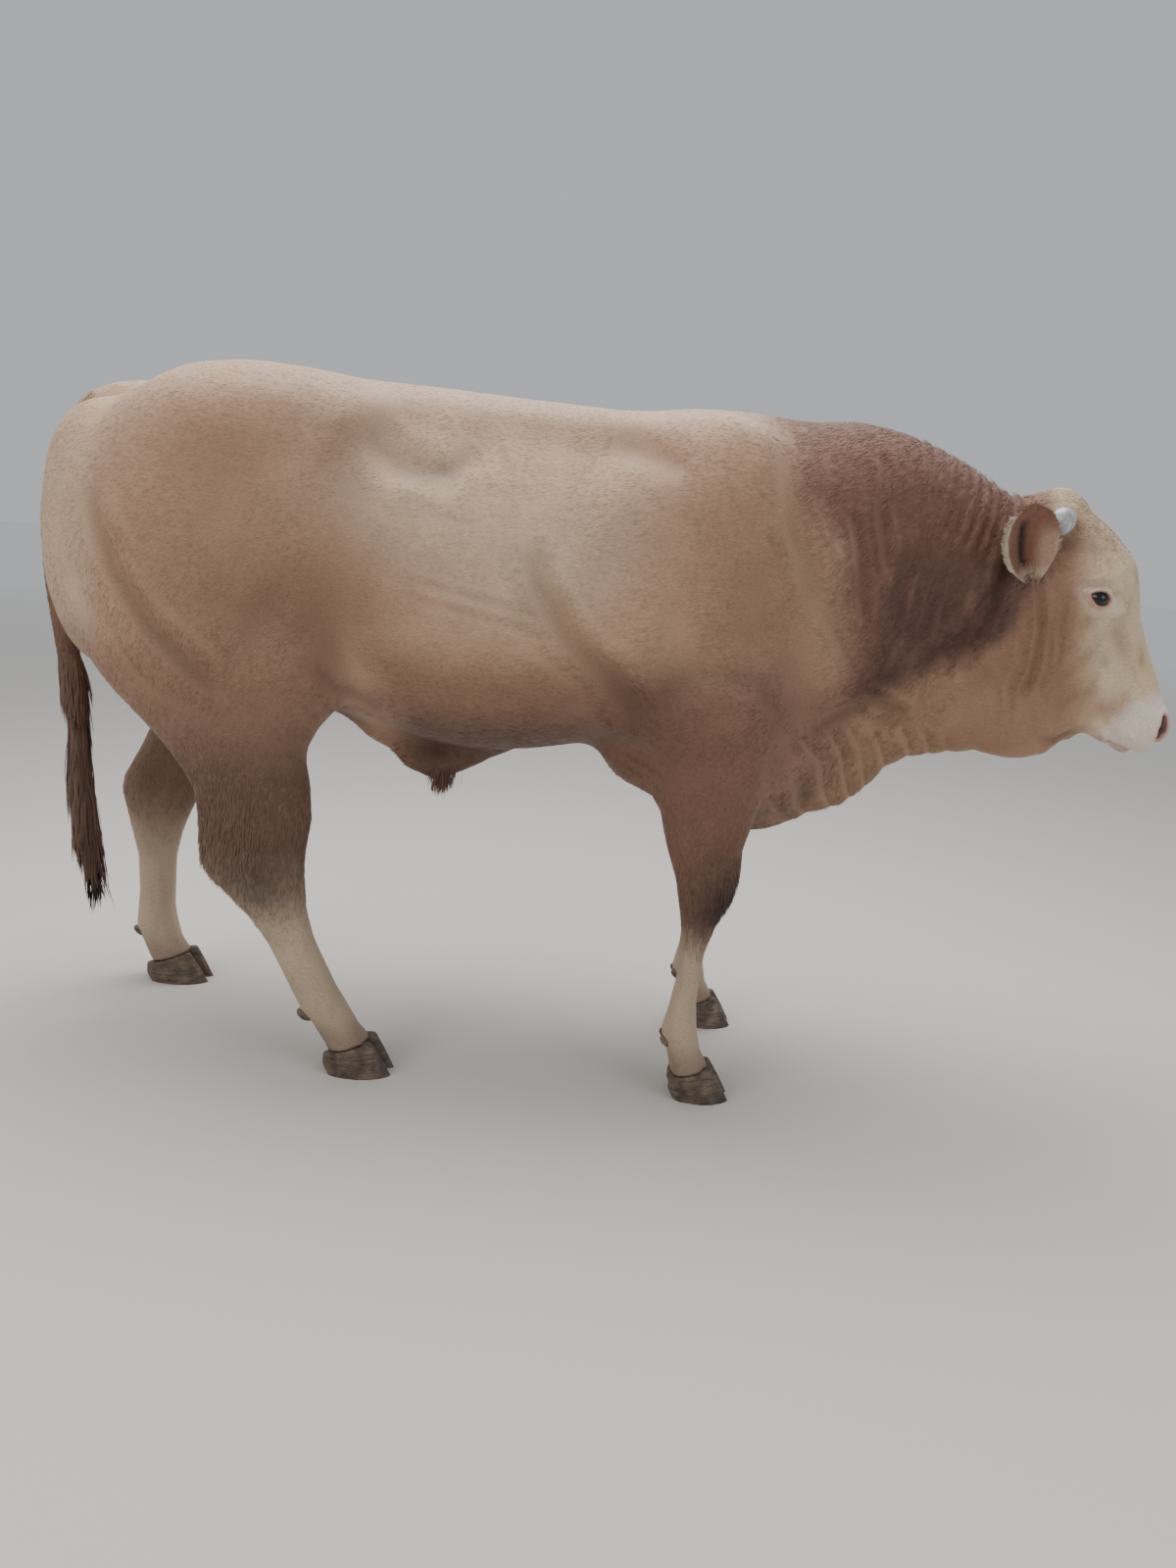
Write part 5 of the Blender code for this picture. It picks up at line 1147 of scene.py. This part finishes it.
# %% Model the horn
FINE, FAIR = dict(cell=0.0015, rounds=6), dict(cell=0.0022, rounds=8)
for side_name, side in SIDES:
    horn_piece("horn_bud_" + side_name, "bud_" + side_name, "horn_bud", bud_horn, **FINE)
    for limb in ("fore", "hind"):
        for place in ("_inner", "_outer"):
            end = side_name + place
            horn_piece(limb + "claw_" + end, limb + "_hoof_" + end, limb + "claw", hoof_horn, **FAIR)
            horn_piece(limb + "dewclaw_" + end, limb + "_spur_" + end, limb + "dewclaw", hoof_horn, **FINE)
print("two buds, eight claws, eight dewclaws")

# %% [markdown]
# ## The coat
# Real hairs are too many to model, so each tuft stands for a small lock of them: a thin
# tapered blade of three sides, rooted under the skin and lying along the body the way the
# hair grows. Thousands of them are laid out with arrays, because they differ only in
# place, length and lean. Hair grows back and down on the trunk, down the legs, outward
# from a whorl on the forehead, and in short waves on the neck.


# %% Which way the hair lies
WHORL = 0.16  # how far down the face from the brow its whorl is


def unit_rows(ways):
    """Each row as a direction of length one."""
    return ways / np.maximum(np.linalg.norm(ways, axis=1), 1e-6)[:, None]


def lie_of(p, n):
    """The direction in which hair lies at each place, along the surface."""
    x, _, z = p.T
    lie = np.tile((-1.0, 0.0, -0.28), (len(p), 1))

    def turn(way, mask):
        nonlocal lie
        lie = blend(lie, np.asarray(way), mask)

    turn((-0.45, 0.0, -0.95), step(x, -0.45, -0.85) * step(z, 1.30, 1.00))
    turn((-1.0, 0.0, 0.0), step(z, 1.42, 1.48))
    neck, head = on_neck(p), on_head(p)
    turn((-0.75, 0.0, -0.70), neck)
    turn((-0.35, 0.0, -1.0), neck * step(z, 1.05, 0.90))
    turn((-0.35, 0.0, -1.0), step(x, 0.0, 0.15) * step(z, 0.95, 0.80) * (1 - neck))
    turn((-0.10, 0.0, -1.0), np.maximum(on_forelegs(p), on_hindlegs(p)))
    turn((0.0, 0.0, -1.0), on_tail(p))
    along, out, up = head_places(p)
    whorl = unit_rows(ALONG * (along - WHORL)[:, None] * 1.6 + LEFT * (out * 2.2)[:, None])
    on_cheek = -ALONG * 0.2 - TOP * 1.0 + np.array((-0.5, 0, 0))
    face_lie = blend(whorl, on_cheek, step(up, -0.04, -0.10))
    face_lie = blend(face_lie, -ALONG * 0.7 - TOP * 0.5, step(along, 0.40, 0.50))
    turn(face_lie, head)
    for u, r, axis, rear, _ in on_ears(p):
        outward = axis + rear * (np.sign(r) * step(abs(r), 0.2, 0.8) * 0.9)[:, None]
        turn(outward, step(u, -0.05, 0.05) * (u > -1))
    lie = lie + n * 1e-6
    return unit_rows(lie - n * np.sum(lie * n, axis=1)[:, None])


# %% Grow tufts from roots
# How deep a tuft is rooted, the side of its patch of the map, and how thick it is for its width.
ROOT_DEPTH, PATCH, THICKNESS = 0.0010, 0.003, 0.24


def grow(name, roots, normals, ways, length, width, colour, uv, lift,
         segments=1, wave=0.0, droop=0.0, relief=0.40):
    """Closed tapered blades as one mesh, long ones widest in their middle. Lift is the rise at
    the root in radians, wave and droop bend the blade, and relief rounds its shading."""
    count = len(roots)
    length = np.broadcast_to(length, count)
    width = np.broadcast_to(width, count)
    lift = np.broadcast_to(lift, count)
    side = np.cross(normals, ways)
    place = roots - normals * ROOT_DEPTH
    phase = chance.uniform(0, math.tau, count)
    verts = np.empty((count, 3 * segments + 1, 3), np.float32)
    facing = np.empty_like(verts)
    tilted = normals - ways * np.sin(lift)[:, None] * 0.6
    for ring in range(segments + 1):
        portion = ring / segments
        if ring < segments:
            wide = width * (0.75 + 0.35 * portion if segments > 1 else 1.0) * (1 - 0.55 * portion ** 2)
            thick = wide * THICKNESS
            verts[:, 3 * ring] = place + side * (wide / 2)[:, None]
            verts[:, 3 * ring + 1] = place - side * (wide / 2)[:, None]
            verts[:, 3 * ring + 2] = place + normals * thick[:, None]
            facing[:, 3 * ring] = tilted + side * relief
            facing[:, 3 * ring + 1] = tilted - side * relief
            facing[:, 3 * ring + 2] = tilted
        else:
            verts[:, 3 * ring] = place
            facing[:, 3 * ring] = normals + ways * 0.1
        rise = lift * (1 - 1.15 * portion)
        sway = wave * np.sin(phase + portion * 5.2)
        way = ways * np.cos(rise)[:, None] + normals * np.sin(rise)[:, None] + side * sway[:, None]
        way = way + np.array((0, 0, -droop)) * portion
        place = place + unit_rows(way) * (length / segments)[:, None]
    faces = [(0, 1, 2)]
    for ring in range(segments - 1):
        low, top = 3 * ring, 3 * ring + 3
        for a, b in ((1, 0), (2, 1), (0, 2)):
            faces += [(low + a, low + b, top + b), (low + a, top + b, top + a)]
    last = 3 * (segments - 1)
    faces += [(last + a, last + b, last + 3) for a, b in ((1, 0), (2, 1), (0, 2))]
    faces = np.array(faces)
    per_tuft = 3 * segments + 1
    triangles = (faces[None] + (np.arange(count) * per_tuft)[:, None, None]).reshape(-1, 3)
    mesh = bpy.data.meshes.new(name)
    mesh.vertices.add(count * per_tuft)
    mesh.vertices.foreach_set("co", verts.reshape(-1))
    mesh.loops.add(len(triangles) * 3)
    mesh.loops.foreach_set("vertex_index", triangles.ravel().astype(np.int32))
    mesh.polygons.add(len(triangles))
    mesh.polygons.foreach_set("loop_start", (np.arange(len(triangles)) * 3).astype(np.int32))
    mesh.update(calc_edges=True)
    mesh.polygons.foreach_set("use_smooth", np.ones(len(triangles), bool))
    corner = np.zeros((per_tuft, 2))
    corner[:, 0] = np.tile((PATCH / 2, -PATCH / 2, 0.0), segments + 1)[:per_tuft]
    corner[:, 1] = np.linspace(-PATCH / 2, PATCH / 2, per_tuft)
    spots = (uv[:, None, :] + corner[None]).reshape(-1, 2)
    layer = mesh.uv_layers.new(name="OFBake")
    layer.data.foreach_set("uv", spots[triangles.ravel()].astype(np.float32).ravel())
    facing /= np.linalg.norm(facing, axis=2)[:, :, None]
    mesh.normals_split_custom_set_from_vertices(facing.reshape(-1, 3))
    obj = bpy.data.objects.new(name, mesh)
    bpy.context.scene.collection.objects.link(obj)
    fade = np.linspace(0.94, 1.08, segments + 1).repeat(3)[:per_tuft]
    store_colour(obj, (colour[:, None, :] * fade[None, :, None]).reshape(-1, 3))
    return obj


# %% Roots spread over the skin
mesh = skin.data
corners = np.empty(len(mesh.loops), int)
mesh.loops.foreach_get("vertex_index", corners)
corners = corners.reshape(-1, 3)
skin_points, skin_normals = points_of(skin) - SHIFT, normals_of(skin)
skin_uv = np.empty(len(mesh.loops) * 2, np.float32)
mesh.uv_layers["OFBake"].data.foreach_get("uv", skin_uv)
skin_uv = skin_uv.reshape(-1, 3, 2)
a, b, c = (skin_points[corners[:, k]] for k in range(3))
areas = np.linalg.norm(np.cross(b - a, c - a), axis=1) / 2
middles = (a + b + c) / 3
print("skin area", round(float(areas.sum()), 2), "square metres")


def scatter(weight, count):
    """Random roots on the skin, as many per area as the weight of each triangle says."""
    count = max(3, int(count * (1.0)))
    share = areas * weight
    pick = chance.choice(len(areas), size=count, p=share / share.sum())
    r1, r2 = np.sqrt(chance.uniform(size=count)), chance.uniform(size=count)
    parts = np.stack([1 - r1, r1 * (1 - r2), r1 * r2], axis=1)
    spot = np.einsum("ij,ijk->ik", parts, skin_points[corners[pick]])
    normal = unit_rows(np.einsum("ij,ijk->ik", parts, skin_normals[corners[pick]]))
    return spot, normal, np.einsum("ij,ijk->ik", parts, skin_uv[pick])


def hair_colour(p, n, spread):
    """The hide's colour at the roots, a little different for each tuft and for each clump of them."""
    shade = chance.normal(0, spread, len(p)) + 0.07 * waver(p, 0.0045, 50)
    return full_colour(p, n) * np.exp(shade)[:, None]


# %% Where each kind of tuft grows
BUD_PLACE = (0.050, 0.110, -0.054)
HAIR_LINE = 0.068
ears = on_ears(middles)
ear_mask = np.maximum(*((ear[0] > 0.0) * 1.0 for ear in ears))
face_normals = np.cross(b - a, c - a)
face_normals = face_normals / np.maximum(np.linalg.norm(face_normals, axis=1), 1e-12)[:, None]
covered = np.zeros(len(middles))
for _, side in SIDES:
    away = np.linalg.norm(middles - head_point(BUD_PLACE, side), axis=1)
    covered = np.maximum(covered, step(away, 0.042, 0.036))
open_skin = (1 - bare(middles)) * (1 - covered) * (middles[:, 2] > HAIR_LINE)
open_skin = open_skin * (1 - on_head(middles) * bell(mouth_distance(middles), 0, 0.004))
head_part = on_head(middles) * (1 - ear_mask)
neck_part = on_neck(middles) * (1 - on_head(middles)) * (1 - ear_mask)
leg_part = np.maximum(on_forelegs(middles), on_hindlegs(middles))
tail_part = on_tail(middles)
purse_part = step(middles[:, 2], 0.88, 0.82) * step(middles[:, 0], -0.70, -0.74)
purse_part = purse_part * step(abs(middles[:, 1]), 0.09, 0.07)
purse_part = purse_part * (1 - on_hindlegs(middles)) * (1 - tail_part)
trunk_part = (1 - on_neck(middles)) * (1 - leg_part) * (1 - tail_part) * (1 - 0.9 * purse_part)
hair = coat_finish("short soft cattle hair", (300, 300, 300), 0.0004, 0.62)
print("open to hair:", int((open_skin > 0).sum()), "of", len(middles), "triangles")


# %% Tufts over a region
def dress(obj):
    obj.data.materials.append(hair)
    obj.data.transform(Matrix.Translation(SHIFT.tolist()))
    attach(obj, "root")
    print(obj.name, len(obj.data.polygons), "triangles")


def coat(name, slot, weight, count, length, width, spread, sizes=(0.75, 1.25),
         sway=None, pull=None, fit=None, **form):
    """Tufts as dense as the weight says: how many, how large and how uneven in size and shade.
    Sway turns their lie to and fro: how much, over what distance, and its seed. Pull turns it
    towards one direction, and fit changes their size from place to place."""
    spot, normal, uv = scatter(weight, count)
    ways = lie_of(spot, normal)
    if sway:
        amount, reach, seed = sway
        ways = unit_rows(ways + np.cross(normal, ways) * (amount * waver(spot, reach, seed))[:, None])
    if pull:
        ways = unit_rows(ways * 0.5 + np.array(pull))
    size = chance.uniform(*sizes, len(spot))
    if fit:
        size = fit(spot, size)
    shade = hair_colour(spot, normal, spread)
    form = {key: value(spot) if callable(value) else value for key, value in form.items()}
    dress(grow(name, spot, normal, ways, length * size, width * size, shade, uv, **form))


# %% Trunk
HAUNCH = -0.28
TRUNK_TUFTS = dict(count=34000, length=0.018, width=0.0027, spread=0.045, lift=0.10, relief=0.25)
for side_name, side in SIDES:
    for name, low, high in (("fore", HAUNCH, 9.0), ("rear", -9.0, HAUNCH)):
        here = (middles[:, 1] * side > 0) & (middles[:, 0] > low) & (middles[:, 0] <= high)
        coat(f"coat_{name}_{side_name}", "torso", trunk_part * open_skin * here, **TRUNK_TUFTS)

# %% [markdown]
# The neck of a bull is its shaggiest part. Short tufts cover it, swayed to and fro, and over
# them lie fewer and longer waved ones, thickest towards the crest.

# %% Neck
NECK_TUFTS = dict(count=22000, length=0.017, width=0.0023, spread=0.07, sizes=(0.7, 1.3),
                  sway=(0.55, 0.022, 40), lift=0.13, relief=0.28)
NECK_WAVES = dict(count=4500, length=0.024, width=0.0016, spread=0.10, sizes=(0.7, 1.3),
                  segments=3, lift=0.17, wave=0.5, relief=0.30)
for side_name, side in SIDES:
    here = neck_part * open_skin * (middles[:, 1] * side > 0)
    coat("coat_neck_" + side_name, "neck", here, **NECK_TUFTS)
    upward = 0.15 + step(middles[:, 2], 1.0, 1.2)
    coat("coat_neck_waves_" + side_name, "neck", here * upward, **NECK_WAVES)

# %% [markdown]
# The hair of the face is the finest and flattest, and shortest on the muzzle and round the
# eyes. On the poll and forehead it turns to small loose curls.


# %% Head
def past_eyes(p, near, far):
    """0 close round the eyes and 1 away from them, in the measure of the lids."""
    return np.minimum(*(step(eye_angle(p, side)[0], near, far) for _, side in SIDES))


def face_size(spot, size):
    size = size * (1 - 0.55 * step(head_places(spot)[0], 0.36, 0.50))
    return size * (0.35 + 0.65 * past_eyes(spot, 1.3, 3.6))


FACE_TUFTS = dict(count=45000, length=0.0115, width=0.0017, spread=0.05, fit=face_size,
                  lift=0.10, relief=0.22)
fine = head_part * open_skin
coat("coat_face", "head", fine * (1 + 0.6 * step(head_places(middles)[0], 0.3, 0.5)), **FACE_TUFTS)

# %% Curls of the poll and forehead
CURLS = dict(count=5000, length=0.013, width=0.0013, spread=0.08, sizes=(0.6, 1.3), sway=(1.3, 0.016, 41),
             segments=3, lift=0.30, wave=0.9, relief=0.3)
poll = step(head_places(middles)[0], 0.20, 0.04) * step(head_places(middles)[2], -0.15, -0.09)
poll = poll * past_eyes(middles, 3.0, 4.0)
coat("coat_poll", "head", fine * poll, **CURLS)

# %% [markdown]
# The legs carry short hair that shortens towards the feet, and longer rough hair on the
# knees and over the hocks, where it stands out a little.



# %% Legs
def shaggy(p):
    """1 on the knees and over the hocks, where the hair is long and rough."""
    return bump_at(p, 0.34, 0.47, 0.09, 0.10) + bump_at(p, -0.76, 0.54, 0.16, 0.16)


def leg_size(spot, size):
    return size * (0.65 + 0.5 * step(spot[:, 2], 0.10, 0.55)) * (1 + 0.5 * shaggy(spot))


def leg_lift(spot):
    return 0.10 + 0.16 * np.clip(shaggy(spot), 0, 1)


LEG_TUFTS = dict(count=21000, length=0.016, width=0.0027, spread=0.06, fit=leg_size,
                 lift=leg_lift, relief=0.28)
coat("coat_forelegs", "foreleg", leg_part * open_skin * on_forelegs(middles), **LEG_TUFTS)
coat("coat_hindlegs", "hindleg", leg_part * open_skin * on_hindlegs(middles), **LEG_TUFTS)

# %% [markdown]
# The tail has short hair above. Below it, locks as long as a hand hang one over the other
# and make the switch, which ends ragged because their lengths differ.

# %% Tail
TAIL_TUFTS = dict(count=8000, length=0.017, width=0.0026, spread=0.12, lift=0.16)
coat("coat_tail", "tail", tail_part * open_skin * (middles[:, 2] > 0.70), **TAIL_TUFTS)

SWITCH_LOCKS, SWITCH_TOP, SWITCH_END, LOCK_WIDTH = 2600, 0.88, 0.38, 0.0050
LOCK_HEIGHTS, LOCK_LENGTHS = (0.40, 0.55, SWITCH_TOP), (0.150, 0.17, 0.11)
sideways = (abs(face_normals[:, 2]) < 0.5) & (middles[:, 2] > SWITCH_END)
spot, normal, uv = scatter(tail_part * (middles[:, 2] < SWITCH_TOP) * sideways, SWITCH_LOCKS)
ways = lie_of(spot, normal)
ways = ways + np.cross(normal, ways) * (0.12 * waver(spot, 0.010, 42))[:, None]
size = chance.uniform(0.40, 1.15, len(spot))
reach = np.interp(spot[:, 2], LOCK_HEIGHTS, LOCK_LENGTHS)
shade = hair_colour(spot, normal, 0.10)
dress(grow("coat_switch", spot, normal, ways, reach * size, LOCK_WIDTH * size, shade, uv, segments=5,
           lift=0.13 * chance.uniform(0, 1, len(spot)), wave=0.14, droop=0.45))

# %% [markdown]
# The ears have short hair all over, a pale fringe along the rear rim and a few long hairs
# that hang in the notch at the root.

# %% Ears
EAR_TUFTS = dict(count=7000, length=0.009, width=0.0017, spread=0.12, sizes=(0.7, 1.3), lift=0.25)
LONG_HAIR_WIDTH = 0.0011
ear_here = ear_mask * open_skin
coat("coat_ears", "ear", ear_here, **EAR_TUFTS)
rim, notch = np.zeros(len(middles)), np.zeros(len(middles))
for u, r, _, _, face in ears:
    rim = np.maximum(rim, (u > 0.20) * (step(r, 0.80, 0.95) + 0.06 * step(-r, 0.85, 0.98)))
    low_cup = (u > -1) * step(u, 0.36, 0.12) * bell(r, -0.25, 0.4)
    notch = np.maximum(notch, low_cup * step(face_normals @ face, 0.2, 0.6))
for name, where, count, long, shade in (("coat_ear_fringe", rim, 1500, 0.014, FRINGE),
                                        ("coat_ear_notch", notch, 80, 0.026, EAR_HAIR)):
    spot, normal, uv = scatter(ear_here * where, count)
    ways = lie_of(spot, normal)
    if name == "coat_ear_notch":
        ways = unit_rows(ways * 0.15 + np.array((0.05, 0.0, -1.0)) + normal * 0.35)
    size = chance.uniform(0.6, 1.2, len(spot))
    pale = np.tile(linear(shade), (len(spot), 1)) * chance.uniform(0.8, 1.1, (len(spot), 1))
    dress(grow(name, spot, normal, ways, long * size, LONG_HAIR_WIDTH * size, pale, uv,
               segments=3, lift=0.3, wave=0.25, droop=0.15))

# %% [markdown]
# Lashes stand in a row along the rim of the upper lid and bend down over the eye. Each root
# is set on the nearest place of the skin.

# %% Lashes
LASHES, LASH_LENGTH, LASH_WIDTH = 64, 0.0085, 0.0006
tree = BVHTree.FromPolygons([Vector(v) for v in skin_points], corners.tolist())
for side_name, side in SIDES:
    centre, out, ahead, up = eye_frame(side)
    turn = math.pi * (0.08 + 0.80 * (np.arange(LASHES) + chance.uniform(-0.4, 0.4, LASHES)) / LASHES)
    f, u = EYE_OPENING[0] * 1.08 * np.cos(turn), EYE_OPENING[1] * 1.10 * np.sin(turn)
    rise = np.sqrt((EYE_RADIUS + 0.0030) ** 2 - f ** 2 - u ** 2)
    spot = centre + f[:, None] * ahead + u[:, None] * up + rise[:, None] * out
    nearest = [tree.find_nearest(Vector(v)) for v in spot]
    spot = np.array([hit[0] for hit in nearest])
    uv = skin_uv[[hit[2] for hit in nearest]].mean(axis=1)
    ways = unit_rows(out + up * 0.10 + ahead * (0.55 * f / EYE_OPENING[0] + 0.15)[:, None])
    normal = np.cross(unit_rows(np.cross(ways, up)), ways)
    size = chance.uniform(0.7, 1.1, LASHES)
    dark = np.tile(linear(LASH), (LASHES, 1))
    dress(grow("lashes_" + side_name, spot, normal, ways, LASH_LENGTH * size, LASH_WIDTH * size, dark, uv,
               segments=3, lift=0.0, wave=0.10, droop=0.55))

# %% [markdown]
# The sheath ends in a lock of longer hair that hangs down and a little forward.

# %% Hair of the sheath
SHEATH_TIP = (-0.334, 0.652)
SHEATH_LOCKS = dict(count=420, length=0.040, width=0.0024, spread=0.15, sizes=(0.6, 1.2),
                    pull=(0.35, 0, -1.2), segments=4, lift=0.1, wave=0.2, droop=0.3)
tip_part = bump_at(middles, *SHEATH_TIP, 0.020, 0.020)
coat("coat_sheath", "sheath", tip_part * (abs(middles[:, 1]) < 0.05), **SHEATH_LOCKS)
